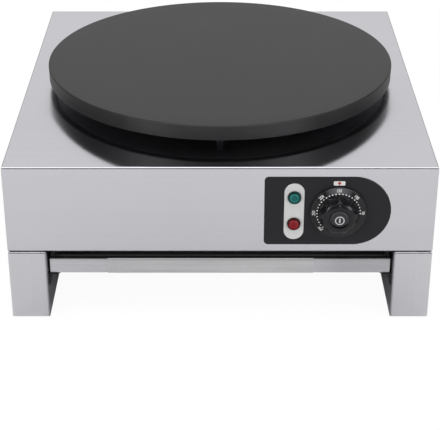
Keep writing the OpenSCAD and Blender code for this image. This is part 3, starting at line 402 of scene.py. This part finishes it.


# Finishes, with the display colours that they have under even white light; the darker tones marked below are
# painted shade
grainX, grainY, grainZ = (7, 1300, 1300), (1300, 7, 1300), (1300, 1300, 7)
pullGrain = (24, 1300, 1300)
housingSag = {"start": 0.14, "stop": 0.24, "depth": 2.5 * mm}
# the darker tones on these inner faces are painted shade
legInsideShade = {"axis": 0, "start": 0.1845, "stop": 0.1865, "tone": (176, 176, 178), "rough": 0.12}
drawerInsideShade = {"axis": 1, "start": 0.2285, "stop": 0.231, "tone": (225, 225, 228), "rough": 0.42}
# painted shade on the drawer's face at its top under the housing, and a painted reflection darkening it
# towards the right
drawerShadeBands = [(2, [(0.0635, 255), (0.0665, 245), (0.0693, 212)]), (0, [(0.095, 255), (0.13, 233)])]
# painted shade on the pull under its lip
pullShadeBands = [(2, [(0.0635, 255), (0.066, 246), (0.068, 220), (0.0691, 220), (0.0693, 255)])]
finish = {
    "housing": brushed("housingSteel", (204, 203, 208), (199, 198, 203), (0.135, 0.155), grainX, grainY, 0.02,
                       sag=housingSag, smear=1.0),
    "leg": brushed("legSteel", (208, 207, 211), (199, 198, 202), (0.2, 0.28), grainZ, grainY, 0.02,
                   dullAndShaded=legInsideShade),
    "drawer": brushed("drawerSteel", (204, 203, 207), (190, 189, 194), (0.24, 0.34), grainX, grainY, 0.04,
                      dullAndShaded=drawerInsideShade, paintedShadeBands=drawerShadeBands),
    "pull": brushed("pullSteel", (212, 212, 213), (186, 186, 188), (0.26, 0.38), pullGrain, bump=0.06,
                    paintedShadeBands=pullShadeBands),
    # the rail's dark tone is painted shade from under the drawer
    "rail": brushed("railSteelPaintedShade", (62, 62, 65), (46, 46, 49), (0.42, 0.58), grainY),
    # the pan's dark tone is painted shade in the seam over the legs
    "pan": brushed("panSteelPaintedShade", (72, 71, 76), (56, 55, 60), (0.45, 0.6), grainX),
    "shield": brushed("shieldSteel", (190, 190, 192), (168, 168, 171), (0.35, 0.5), grainX),
    "post": brushed("postSteel", (66, 66, 68), (50, 50, 53), (0.4, 0.55), grainX),
    "fastener": moulded("fastenerZinc", (206, 206, 208), (178, 178, 182), (0.22, 0.38), 700.0, 0.1, 0.5, 1.0),
    "shaft": brushed("shaftSteel", (186, 186, 188), (160, 160, 163), (0.2, 0.32), grainX),
    "element": moulded("elementSheath", (96, 92, 90), (64, 60, 60), (0.45, 0.65), 300.0, 0.2, 0.5, 0.8),
    "iron": castIron("plateIron", (41, 41, 42), (29, 29, 30), (0.42, 0.5)),
    "fibre": moulded("fibreBoard", (236, 233, 224), (210, 206, 196), (0.8, 0.95), 260.0, 0.6, 0.2),
    "ceramic": moulded("bushCeramic", (238, 234, 224), (222, 217, 204), (0.18, 0.3), 500.0, 0.05),
    "copper": moulded("sensorCopper", (200, 132, 96), (168, 100, 70), (0.25, 0.42), 400.0, 0.1, 0.5, 1.0),
    "brass": moulded("terminalBrass", (214, 182, 106), (188, 152, 78), (0.22, 0.38), 500.0, 0.1, 0.5, 1.0),
    "fascia": moulded("fasciaBlack", (34, 34, 37), (30, 30, 33), (0.5, 0.6), 1500.0, 0.12, 0.2),
    "cap": capWithPaintedShade("capBlack", (42, 42, 46), (36, 36, 40), (0.26, 0.36)),
    "lampPlate": moulded("lampPlateWhite", (203, 204, 203), (196, 197, 196), (0.35, 0.5), 700.0, 0.06),
    "mark": moulded("dialMarkWhite", (236, 236, 234), (222, 222, 221), (0.5, 0.65), 900.0, 0.05),
    "capMark": moulded("capMarkGrey", (196, 196, 199), (184, 184, 187), (0.5, 0.65), 900.0, 0.05),
    "tab": moulded("tabWhite", (226, 222, 218), (214, 209, 205), (0.4, 0.55), 900.0, 0.05),
    "redMark": moulded("tabRed", (176, 52, 56), (150, 38, 44), (0.4, 0.55), 900.0, 0.05),
    "lampCase": moulded("lampCaseNylon", (224, 222, 214), (206, 203, 194), (0.45, 0.6), 600.0, 0.08),
    "thermostat": moulded("thermostatCase", (204, 196, 176), (184, 174, 152), (0.5, 0.68), 500.0, 0.12),
    "block": moulded("blockIvory", (226, 221, 204), (208, 202, 184), (0.4, 0.55), 600.0, 0.08),
    "brown": moulded("wireBrown", (112, 66, 42), (92, 52, 32), (0.45, 0.6), 500.0, 0.08),
    "blue": moulded("wireBlue", (52, 90, 166), (40, 72, 140), (0.45, 0.6), 500.0, 0.08),
    "green": moulded("wireGreen", (150, 172, 58), (122, 146, 40), (0.45, 0.6), 500.0, 0.08),
    "nylon": moulded("glandNylon", (50, 50, 52), (40, 40, 42), (0.42, 0.56), 900.0, 0.1),
    "rubber": moulded("padRubber", (42, 42, 43), (32, 32, 33), (0.7, 0.88), 1200.0, 0.3, 0.3),
}
print("finishes made:", len(finish))


# Surfaces from arrays
meshSet = {"merge": 0.002 * mm, "shortest": 0.0005 * mm}


def gridFaces(rows, cols, wrapRows, wrapCols):
    r, c = np.meshgrid(np.arange(rows - (not wrapRows)), np.arange(cols - (not wrapCols)), indexing="ij")
    nextR, nextC = (r + 1) % rows, (c + 1) % cols
    corners = [r * cols + c, r * cols + nextC, nextR * cols + nextC, nextR * cols + c]
    return np.stack(corners, -1).reshape(-1, 4)


def tidyMesh(mesh, sharp, fillAxis=None):  # merges what meets, fills flat openings, turns faces outwards
    work = bmesh.new()
    work.from_mesh(mesh)
    bmesh.ops.remove_doubles(work, verts=work.verts, dist=meshSet["merge"])
    bmesh.ops.dissolve_degenerate(work, edges=work.edges, dist=meshSet["shortest"])
    if fillAxis is not None:
        levels = {}
        for edge in work.edges:
            if edge.is_boundary:
                levels.setdefault(round(edge.verts[0].co[fillAxis] / mm, 2), []).append(edge)
        for edges in levels.values():
            bmesh.ops.triangle_fill(work, edges=edges, use_beauty=True)
    bmesh.ops.recalc_face_normals(work, faces=work.faces)
    work.to_mesh(mesh)
    work.free()
    mesh.shade_smooth()
    mesh.set_sharp_from_angle(angle=math.radians(sharp))
    return mesh


def surfaceMesh(name, patches, sharp=35, fillAxis=None):
    # patches are (points in rows and columns, rows wrap, columns wrap)
    points, faces, start = [], [], 0
    for grid, wrapRows, wrapCols in patches:
        points.append(grid.reshape(-1, 3))
        faces.append(gridFaces(*grid.shape[:2], wrapRows, wrapCols) + start)
        start += len(points[-1])
    mesh = bpy.data.meshes.new(name)
    mesh.from_pydata(np.concatenate(points).tolist(), [], np.concatenate(faces).tolist())
    return tidyMesh(mesh, sharp, fillAxis)


def place(name, mesh, body, material, replaced=()):
    piece = bpy.data.objects.new(name, mesh)
    scene.collection.objects.link(piece)
    mesh.materials.clear()
    mesh.materials.append(material)
    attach(piece, body)
    if replaced:
        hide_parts(*replaced)


def eased(points, reach, steps=4, most=0.48):  # inner corners become parabolas of that reach
    p = np.array(points, float)
    before, corner, after = p[:-2], p[1:-1], p[2:]

    def drawnBack(other):
        length = np.linalg.norm(other - corner, axis=1)
        return corner + (other - corner) * (np.minimum(reach, length * most) / length)[:, None]

    t = np.linspace(0, 1, steps + 1)[None, :, None]
    start, stop = drawnBack(before)[:, None], drawnBack(after)[:, None]
    arcs = (1 - t) ** 2 * start + 2 * t * (1 - t) * corner[:, None] + t ** 2 * stop
    return np.concatenate([p[:1], arcs.reshape(-1, 2), p[-1:]])


def turnedGrid(profile, steps=96):  # (radius, height) in mm turned a full circle, from the top clockwise
    radius, height = np.array(profile).T * mm
    angle = np.linspace(0, 2 * np.pi, steps, endpoint=False)
    return np.stack([np.outer(radius, np.sin(angle)), np.outer(radius, np.cos(angle)),
                     np.outer(height, np.ones(steps))], -1)


def onFront(grid, centre):  # (right, up, out) set on the front, where out is towards -Y
    return np.stack([centre[0] + grid[..., 0], centre[1] - grid[..., 2], centre[2] + grid[..., 1]], -1)


def backMiddle(low, high):  # middle of a box's back face, for pieces that stand out of the front
    return np.array([(low[0] + high[0]) / 2, high[1], (low[2] + high[2]) / 2])


def arc(centre, radius, start, stop, steps=24):  # points on a circle, angles in degrees
    a = np.radians(np.linspace(start, stop, steps))
    return np.array(centre) + radius * np.stack([np.cos(a), np.sin(a)], -1)


def stadium(width, height, steps=32):  # straight sides up and down, round ends
    straight = (height - width) / 2
    return np.concatenate([arc((0, straight), width / 2, 0, 180, steps),
                           arc((0, -straight), width / 2, 180, 360, steps)])


def ring(centre, radius, steps=64):
    return arc(centre, radius, 0, 360, steps + 1)[:-1]


def wallGrid(outline, profile):  # the outline drawn in by each inset, at each height
    along = np.roll(outline, -1, 0) - np.roll(outline, 1, 0)
    outward = np.stack([along[:, 1], -along[:, 0]], -1) / np.linalg.norm(along, axis=1)[:, None]
    inset, height = np.array(profile).T
    flat = outline[None] - inset[:, None, None] * outward[None]
    lift = np.broadcast_to(height[:, None, None], (len(height), len(outline), 1))
    return np.concatenate([flat, lift], -1) * mm


def flatPlate(name, outer, holes, profile, centre):  # a plate on the front with rounded rims, sizes in mm
    inward = [(-inset, height) for inset, height in profile]
    grids = [wallGrid(outer, profile)] + [wallGrid(hole, inward) for hole in holes]
    return surfaceMesh(name, [(onFront(g, centre), False, True) for g in grids], fillAxis=1)


# Cooking plate: profile from the rim's inner foot round the outside to the middle of the top
plateSet = {"rim": 8.0, "draft": 0.3, "bevel": 1.2, "ease": 0.45, "slabDrop": 7.0, "flatRing": 30,
            "steps": 288}


def makePlate():
    p = plateSet
    low, high = span("griddle_plate")
    radius, foot, top = high[0] / mm, low[2] / mm, high[2] / mm
    inner, bevel, under = radius - p["rim"], p["bevel"], top - p["slabDrop"]
    rim = eased([(inner, under), (inner, foot), (radius - p["draft"], foot), (radius, top - bevel),
                 (radius - bevel, top), (radius - p["flatRing"], top)], p["ease"], 5)
    profile = np.concatenate([[(0, under)], rim, [(radius / 2, top), (0, top)]])
    mesh = surfaceMesh("griddlePlate", [(turnedGrid(profile, p["steps"]), False, True)], sharp=50)
    place("griddlePlate", mesh, "cooker", finish["iron"], ["griddle_plate"])


# Drawer's pull: one profile with a square lip along its top, drawn from end to end
pullSet = {"thick": 1.0, "lipTall": 1.0, "ease": 0.15, "stations": 24}


def makePull():
    low, high = span("drawer_pull")
    p = pullSet
    reach, tall = (high[1] - low[1]) / mm, (high[2] - low[2]) / mm
    lip = tall - p["lipTall"]
    line = eased([(0, tall / 2), (0, 0), (p["thick"], 0), (p["thick"], lip), (reach, lip), (reach, tall),
                  (0, tall), (0, tall / 2)], p["ease"], 4)[:-1]
    x, out = np.meshgrid(np.linspace(low[0], high[0], p["stations"]), line[:, 0] * mm, indexing="ij")
    up = np.broadcast_to(line[:, 1] * mm, x.shape)
    grid = np.stack([x, high[1] - out, low[2] + up], -1)
    mesh = surfaceMesh("drawerPull", [(grid, False, True)], fillAxis=0)
    place("drawerPull", mesh, "drawer", finish["pull"], ["drawer_pull"])


# Posts: plain sleeves with eased ends and a turned waist
postSet = {"turns": (-90, 30, 150), "ringRadius": 170.0, "radius": 6.0, "bore": 3.2, "waist": 0.35,
           "waistHalf": 2.6, "waistSlope": 0.4, "ease": 0.8, "steps": 48}


def makePosts():
    low, high = span("post_sleeves")
    p = postSet
    radius, bore, half = p["radius"], p["bore"], p["waistHalf"]
    foot, top = low[2] / mm, high[2] / mm
    mid, waist, end = (foot + top) / 2, radius - p["waist"], half + p["waistSlope"]
    outer = eased([(bore, foot), (radius, foot), (radius, mid - end), (waist, mid - half),
                   (waist, mid + half), (radius, mid + end), (radius, top), (bore, top)], p["ease"])
    grid = turnedGrid(outer, p["steps"])
    places = [np.array([math.cos(a), math.sin(a), 0]) * p["ringRadius"] * mm for a in np.radians(p["turns"])]
    mesh = surfaceMesh("postSleeves", [(grid + spot, True, True) for spot in places])
    place("postSleeves", mesh, "cooker", finish["post"], ["post_sleeves"])


# Control panel: black fascia and pale lamp plate, each with rounded rims and the holes of what goes through
panelSet = {"corner": 4.5, "rim": 0.5, "plateRim": 0.35, "lensGap": 0.15, "slotGap": 0.15,
            "shaftHole": 5.0, "screwHole": 3.8, "screwReach": 14.0,
            "endSteps": 72, "cornerSteps": 10, "screwSteps": 32, "rimSteps": 4}


def rimProfile(thick, rim):
    return eased([(0, 0), (0, thick), (rim * 2, thick)], rim, panelSet["rimSteps"])


def makeFascia():
    p = panelSet
    low, high = span("control_fascia")
    width, thick, height = (high - low) / mm
    corner, half, steps = p["corner"], height / 2, p["cornerSteps"]
    outer = np.concatenate([arc((width - half, half), half, -90, 90, p["endSteps"]),
                            arc((corner, height - corner), corner, 90, 180, steps),
                            arc((corner, corner), corner, 180, 270, steps)])
    base = np.array([low[0], high[1], low[2]])
    plateLow, plateHigh = span("lamp_plate")
    lampMid = ((plateLow + plateHigh) / 2 - base)[[0, 2]] / mm
    knobMid = (sum(span("dial_knob")) / 2 - base)[[0, 2]] / mm
    slotW, slotH = (plateHigh - plateLow)[[0, 2]] / mm + 2 * p["slotGap"]
    holes = [stadium(slotW, slotH) + lampMid, ring(knobMid, p["shaftHole"])]
    reach, steps = p["screwReach"], p["screwSteps"]
    holes += [ring(knobMid + (s * reach, 0), p["screwHole"], steps) for s in (-1, 1)]
    mesh = flatPlate("controlFascia", outer, holes, rimProfile(thick, p["rim"]), base)
    place("controlFascia", mesh, "cooker", finish["fascia"], ["control_fascia"])


def makeLampPlate():
    p = panelSet
    low, high = span("lamp_plate")
    width, thick, height = (high - low) / mm
    centre = backMiddle(low, high)
    wells = []
    for lensLow, lensHigh in (span("green_lens"), span("red_lens")):
        well = (lensHigh[0] - lensLow[0]) / 2 / mm + p["lensGap"]
        wells.append(ring(((lensLow + lensHigh) / 2 - centre)[[0, 2]] / mm, well))
    mesh = flatPlate("lampPlate", stadium(width, height), wells, rimProfile(thick, p["plateRim"]), centre)
    place("lampPlate", mesh, "cooker", finish["lampPlate"], ["lamp_plate"])


# Lenses: low dome with round waves, then a moat and a rim
lensSet = {"rim": 0.45, "moat": 0.9, "moatWidth": 1.2, "moatSlope": 0.2, "rings": 3, "ringDepth": 0.32,
           "crown": 0.6, "sink": 0.2, "ease": 0.15, "domeSteps": 60}
# each lens's dark tone is painted shade at its rim, and its glow a painted highlight ring
lensTones = {"green": {"light": (6, 88, 85), "dark": (0, 38, 37), "glow": (54, 132, 124)},
             "red": {"light": (122, 14, 23), "dark": (52, 2, 7), "glow": (150, 48, 56)}}


def makeLens(name, node, slot, light, dark, glow):  # height falls as the square of the radius, less a cosine
    s = lensSet
    low, high = span(node)
    radius, top = (high[0] - low[0]) / 2 / mm, (high[1] - low[1]) / mm
    centre = backMiddle(low, high)
    rimHeight, inner = top - s["crown"], radius - s["rim"]
    domeRadius = inner - s["moatWidth"]
    r = np.linspace(0, domeRadius, s["domeSteps"])
    wave = 0.5 - 0.5 * np.cos(2 * np.pi * s["rings"] * r / domeRadius)
    dome = top - (s["crown"] + s["sink"]) * (r / domeRadius) ** 2 - s["ringDepth"] * wave
    moat = rimHeight - s["moat"]
    edge = eased([(domeRadius, dome[-1]), (domeRadius + s["moatSlope"], moat), (inner - s["ease"], moat),
                  (inner, rimHeight), (radius, rimHeight), (radius, 0), (0, 0)], s["ease"], 3)
    profile = np.concatenate([np.stack([r, dome], -1), edge[1:]])
    mesh = surfaceMesh(name, [(onFront(turnedGrid(profile), centre), False, True)], sharp=40)
    material = tintedLensPaintedLight(name + "Tint", light, dark, glow, tuple(centre), radius * mm)
    place(name, mesh, "cooker", material, [node])


# Knob: numbered skirt, groove, fluted grip with a pointer rib, seat for the cap
knobSet = {"hollow": 1.0, "rimWidth": 4.0, "rimSlope": 0.5, "skirtEdge": 2.0, "skirtTop": 4.6, "brow": 0.3,
           "grip": 21.0, "groove": 0.8, "grooveDepth": 0.8, "grooveLean": 0.2, "root": 0.4, "ease": 0.35,
           "shoulder": 19.5, "shoulderHeight": 11.5, "land": 11.1, "seat": 10.05, "seatEdge": 0.3,
           "seatDepth": 1.9, "flutes": 9, "fluteDepth": 2.0, "fluteFoot": 5.6, "fluteRun": (0.6, 0.9),
           "fluteSpread": 1.2, "fluteStop": 1.0, "soft": 0.35, "softLift": 0.1, "ribHalf": 0.7,
           "ribRise": 0.35, "ribStart": 18.4, "ribRun": (0.8, 0.2, 0.5), "columns": 540, "easeSteps": 3,
           "flankSteps": 14, "domeSteps": 26}


def knobFrame():  # middle of the knob's back, with its radius and height in mm
    low, high = span("dial_knob")
    return backMiddle(low, high), (high[0] - low[0]) / 2 / mm, (high[1] - low[1]) / mm


def knobProfile(skirt, front):  # (radius, height) in mm from the back's middle, and the slope's angle
    k = knobSet
    grip, neck, top = k["grip"], k["grip"] + k["groove"], k["skirtTop"]
    floor, rim = top - k["grooveDepth"], skirt - k["rimWidth"]
    foot = eased([(0, k["hollow"]), (rim - k["rimSlope"], k["hollow"]), (rim, 0), (skirt, 0),
                  (skirt, k["skirtEdge"]), (neck, top - k["brow"]), (neck - k["grooveLean"], floor),
                  (grip, floor), (grip, top + k["root"])], k["ease"], k["easeSteps"])
    shoulder = np.array([k["shoulder"], k["shoulderHeight"]])
    flank = foot[-1] + np.linspace(0, 1, k["flankSteps"])[1:, None] * (shoulder - foot[-1])
    bend = np.linspace(0, math.pi / 2, k["domeSteps"])[1:]
    wide, tall = k["shoulder"] - k["land"], front - k["shoulderHeight"]
    dome = np.stack([k["land"] + wide * np.cos(bend), k["shoulderHeight"] + tall * np.sin(bend)], -1)
    seatFloor = front - k["seatDepth"]
    seat = np.array([(k["seat"] + k["seatEdge"], front), (k["seat"], front - k["seatEdge"]),
                     (k["seat"], seatFloor), (0, seatFloor)])
    facing = np.concatenate([np.zeros(len(foot) + len(flank)),
                             np.arctan2(wide * np.sin(bend), tall * np.cos(bend)),
                             np.full(len(seat), math.pi / 2)])
    return np.concatenate([foot, flank, dome, seat]), facing[:, None]


def makeKnob():  # radius is the smaller of the turned profile and a ring of round flutes
    k = knobSet
    centre, skirt, front = knobFrame()
    profile, facing = knobProfile(skirt, front)
    radius, height = profile[:, :1], profile[:, 1:]
    angle = np.linspace(0, 2 * np.pi, k["columns"], endpoint=False)[None]
    pitch = 2 * np.pi / k["flutes"]
    turn = angle % pitch - pitch / 2
    fluteRadius = math.pi * 2 * k["grip"] / k["flutes"] / k["fluteSpread"]
    lean = (k["grip"] - k["shoulder"]) / (k["shoulderHeight"] - k["skirtTop"])
    reach = k["grip"] - k["fluteDepth"] - lean * (height - k["fluteFoot"]) + fluteRadius
    flute = reach * np.cos(turn) - np.sqrt(np.maximum(fluteRadius ** 2 - (reach * np.sin(turn)) ** 2, 0))
    lesser = (radius + flute - np.sqrt((radius - flute) ** 2 + k["soft"] ** 2)) / 2
    lesser = lesser + k["soft"] * k["softLift"]
    early, run = k["fluteRun"]
    inner = k["land"] + k["fluteStop"]
    onGrip = np.clip((height - k["fluteFoot"] + early) / run, 0, 1) * (radius > inner)
    drawn = radius - onGrip * np.maximum(radius - lesser, 0)
    outerRun, clear, innerRun = k["ribRun"]
    rib = np.exp(-(radius * np.sin(angle) / k["ribHalf"]) ** 4) * (np.cos(angle) > 0)
    rib = rib * np.clip((k["ribStart"] - radius) / outerRun, 0, 1)
    rib = rib * np.clip((radius - k["land"] - clear) / innerRun, 0, 1) * k["ribRise"]
    drawn, lifted = drawn + rib * np.cos(facing), height + rib * np.sin(facing)
    grid = np.stack([drawn * np.sin(angle), drawn * np.cos(angle), lifted], -1) * mm
    mesh = surfaceMesh("dialKnob", [(onFront(grid, centre), False, True)], sharp=60)
    black = knobWithPaintedSheen("knobBlack", (24, 24, 27), (19, 19, 22), (0.2, 0.28), tuple(centre),
                       (k["grip"] + k["groove"]) * mm)
    place("dialKnob", mesh, "dial", black, ["dial_knob"])


# Cap in the knob's front, with a plain ring and bar on it
capSet = {"flat": 5.7, "fall": 1.0, "side": 0.3, "foot": 0.3, "markRadius": 4.9, "markWidth": 1.0,
          "barWidth": 1.5, "barHeight": 5.4, "markThick": 0.06, "markSink": 0.02, "domeSteps": 18,
          "steps": 120, "markSteps": 72, "barSteps": 12}


def makeCap():  # flat middle, then a fall that grows as the square of the way to the edge
    c = capSet
    low, high = span("knob_cap")
    centre = backMiddle(low, high)
    radius, tall = (high[0] - low[0]) / 2 / mm, (high[1] - low[1]) / mm - c["markThick"]
    way = np.linspace(1, 0, c["domeSteps"])
    dome = np.stack([c["flat"] + way * (radius - c["side"] - c["flat"]), tall - c["fall"] * way ** 2], -1)
    brow = tall - c["fall"] - c["side"]
    wall = eased([(radius - c["foot"], 0), (radius, c["foot"]), (radius, brow), dome[0]], c["side"], 4)
    profile = np.concatenate([[(0, 0)], wall, dome[1:], [(0, tall)]])
    grid = onFront(turnedGrid(profile, c["steps"]), centre)
    mesh = surfaceMesh("knobCap", [(grid, False, True)], sharp=50)
    place("knobCap", mesh, "dial", finish["cap"], ["knob_cap"])
    skin = [(0, tall - c["markSink"]), (0, tall + c["markThick"])]
    radii = (c["markRadius"], c["markRadius"] - c["markWidth"])
    outlines = [ring((0, 0), radius, c["markSteps"]) for radius in radii]
    outlines.append(stadium(c["barWidth"], c["barHeight"], c["barSteps"]))
    patches = [(onFront(wallGrid(outline, skin), centre), False, True) for outline in outlines]
    mark = surfaceMesh("capMark", patches, fillAxis=1)
    place("capMark", mark, "dial", finish["capMark"])


# Dial marks: dots and plain numbers laid on the skirt's cone
dialSet = {"first": -135, "last": 90, "step": 9, "dotRing": 22.55, "dotRadius": 0.78, "dotFlat": 0.75,
           "dotRise": 0.14, "dotEase": 0.2, "dotSteps": 10, "numberRing": 25.9, "numberHeight": 3.1,
           "numberSqueeze": 0.88, "numberBold": 0.008, "numberRise": 0.07, "numberSteps": 3, "sink": 0.05,
           "numbers": {90: "50", 45: "100", 0: "150", -45: "200", -90: "250", -135: "300"}}


def onSkirt(right, up, rise, ringRadius, turn):  # flat (right, up) in mm wrapped round the cone
    k = knobSet
    centre, skirt, _ = knobFrame()
    radius = ringRadius + up
    angle = math.radians(turn) + right / radius
    share = (skirt - radius) / (skirt - k["grip"] - k["groove"])
    height = k["skirtEdge"] + share * (k["skirtTop"] - k["brow"] - k["skirtEdge"]) + rise
    return onFront(np.stack([radius * np.sin(angle), radius * np.cos(angle), height], -1) * mm, centre)


def numberMesh(words):  # digits as a flat mesh of the given height, centred
    d = dialSet
    curve = bpy.data.curves.new("dialNumber", "FONT")
    curve.body, curve.align_x, curve.resolution_u = words, "CENTER", d["numberSteps"]
    curve.extrude, curve.offset = d["sink"], d["numberBold"]
    holder = bpy.data.objects.new("dialNumber", curve)
    scene.collection.objects.link(holder)
    mesh = bpy.data.meshes.new_from_object(holder.evaluated_get(bpy.context.evaluated_depsgraph_get()))
    bpy.data.objects.remove(holder)
    flat = np.empty(len(mesh.vertices) * 3, np.float32)
    mesh.vertices.foreach_get("co", flat)
    flat = flat.reshape(-1, 3).astype(float)
    low, high = flat.min(0), flat.max(0)
    scale = d["numberHeight"] / (high[1] - low[1])
    flat[:, :2] = (flat[:, :2] - (low[:2] + high[:2]) / 2) * scale * np.array([d["numberSqueeze"], 1])
    return mesh, flat[:, 0], flat[:, 1], np.where(flat[:, 2] > 0, d["numberRise"], -d["sink"])


def makeDialMarks():
    d = dialSet
    wide, rise, sink = d["dotRadius"], d["dotRise"], d["sink"]
    dot = [(0, rise), (wide * d["dotFlat"], rise), (wide, -sink), (0, -sink)]
    dome = turnedGrid(eased(dot, d["dotEase"], 2), d["dotSteps"]) / mm
    patches = [(onSkirt(dome[..., 0], dome[..., 1], dome[..., 2], d["dotRing"], turn), False, True)
               for turn in range(d["first"], d["last"] + 1, d["step"])]
    work = bmesh.new()
    work.from_mesh(surfaceMesh("dialDots", patches))
    for turn, words in d["numbers"].items():
        mesh, right, up, lift = numberMesh(words)
        laid = onSkirt(right, up, lift, d["numberRing"], turn)
        mesh.vertices.foreach_set("co", laid.astype(np.float32).ravel())
        work.from_mesh(mesh)
    marks = bpy.data.meshes.new("dialMarks")
    work.to_mesh(marks)
    work.free()
    place("dialMarks", tidyMesh(marks, 40), "dial", finish["mark"])


# Pointer tab over the knob, with a small red drop that points at the setting
tabSet = {"corner": 1.1, "cornerSteps": 8, "rim": 0.2, "face": 0.5, "dropWidth": 3.2, "dropHeight": 3.9,
          "dropThick": 0.05, "dropArc": (-20, 200, 20)}


def makeTab():
    t = tabSet
    low, high = span("pointer_tab")
    size = (high - low)[[0, 2]] / mm / 2 - t["corner"]
    corners = ((1, 1, 0), (-1, 1, 90), (-1, -1, 180), (1, -1, 270))
    outline = np.concatenate([arc(size * side, t["corner"], start, start + 90, t["cornerSteps"])
                              for *side, start in corners])
    centre = backMiddle(low, high)
    thick = (high[1] - low[1]) / mm - t["dropThick"]
    profile = eased([(0, 0), (0, thick), (t["face"], thick)], t["rim"], 3)
    mesh = flatPlate("pointerTab", outline, [], profile, centre)
    place("pointerTab", mesh, "cooker", finish["tab"], ["pointer_tab"])
    half, tall = t["dropWidth"] / 2, t["dropHeight"]
    drop = np.concatenate([arc((0, tall / 2 - half), half, *t["dropArc"]), [(0, -tall / 2)]])
    skin = [(0, thick - t["dropThick"]), (0, thick + t["dropThick"])]
    mesh = flatPlate("pointerDrop", drop, [], skin, centre)
    place("pointerDrop", mesh, "cooker", finish["redMark"])


# Feet: rubber discs with an eased rim and a neck through the leg's floor
padSet = {"ease": 0.35, "flat": 1.5, "edge": 0.15, "neck": 3.3, "button": 4.3, "legSheet": 1.2, "steps": 48}


def makePads():
    p = padSet
    high = span("foot_pads")[1]
    legLow, legHigh = span("right_leg")
    legMid = (legLow[0] + legHigh[0]) / 2
    radius = (high[0] - legMid) / mm
    top, under, neck, button = high[2] / mm, legLow[2] / mm, p["neck"], p["button"]
    over = under + p["legSheet"]
    side = eased([(radius - p["flat"], 0), (radius, p["edge"]), (radius, under), (neck, under), (neck, over),
                  (button, over), (button, top)], p["ease"], 3)
    profile = np.concatenate([[(0, 0)], side, [(0, top)]])
    grid = turnedGrid(profile, p["steps"])
    places = [(sx * legMid, sy * (high[1] - radius * mm), 0) for sx in (-1, 1) for sy in (-1, 1)]
    mesh = surfaceMesh("footPads", [(grid + np.array(spot), False, True) for spot in places])
    place("footPads", mesh, "cooker", finish["rubber"], ["foot_pads"])


makePlate()
makePull()
makePosts()
makeFascia()
makeLampPlate()
makeLens("greenLens", "green_lens", "lens_green", **lensTones["green"])
makeLens("redLens", "red_lens", "lens_red", **lensTones["red"])
makeKnob()
makeCap()
makeDialMarks()
makeTab()
makePads()
print("turned and flat pieces made")

# Finishes of the nodes that keep their own shape
nodeFinish = {
    "housing": ["housing_shell"], "leg": ["left_leg", "right_leg"], "drawer": ["drawer_tray"],
    "rail": ["left_rail", "right_rail"], "pan": ["base_pan"], "shield": ["heat_shield", "sensor_clip"],
    "fastener": ["rail_rivets", "base_screws", "base_nuts", "plate_studs", "plate_washers", "plate_nuts",
                 "clip_screws", "thermostat_screws", "earth_stud"],
    "shaft": ["thermostat_shaft"], "element": ["heating_element"], "fibre": ["insulation_disc"],
    "ceramic": ["terminal_bushes"], "copper": ["sensor_bulb", "capillary_tube"],
    "brass": ["terminal_screws", "earth_nut"], "lampCase": ["lamp_bodies"],
    "nylon": ["lamp_nuts", "cable_gland", "gland_nut", "gland_locknut"], "thermostat": ["thermostat_body"],
    "block": ["terminal_block"], "brown": ["live_wires"], "blue": ["neutral_wires"], "green": ["earth_wire"],
    "rubber": ["gland_seal"],
}
for label, names in nodeFinish.items():
    for name in names:
        nodes[name].data.materials.clear()
        nodes[name].data.materials.append(finish[label])
print("node finishes set")
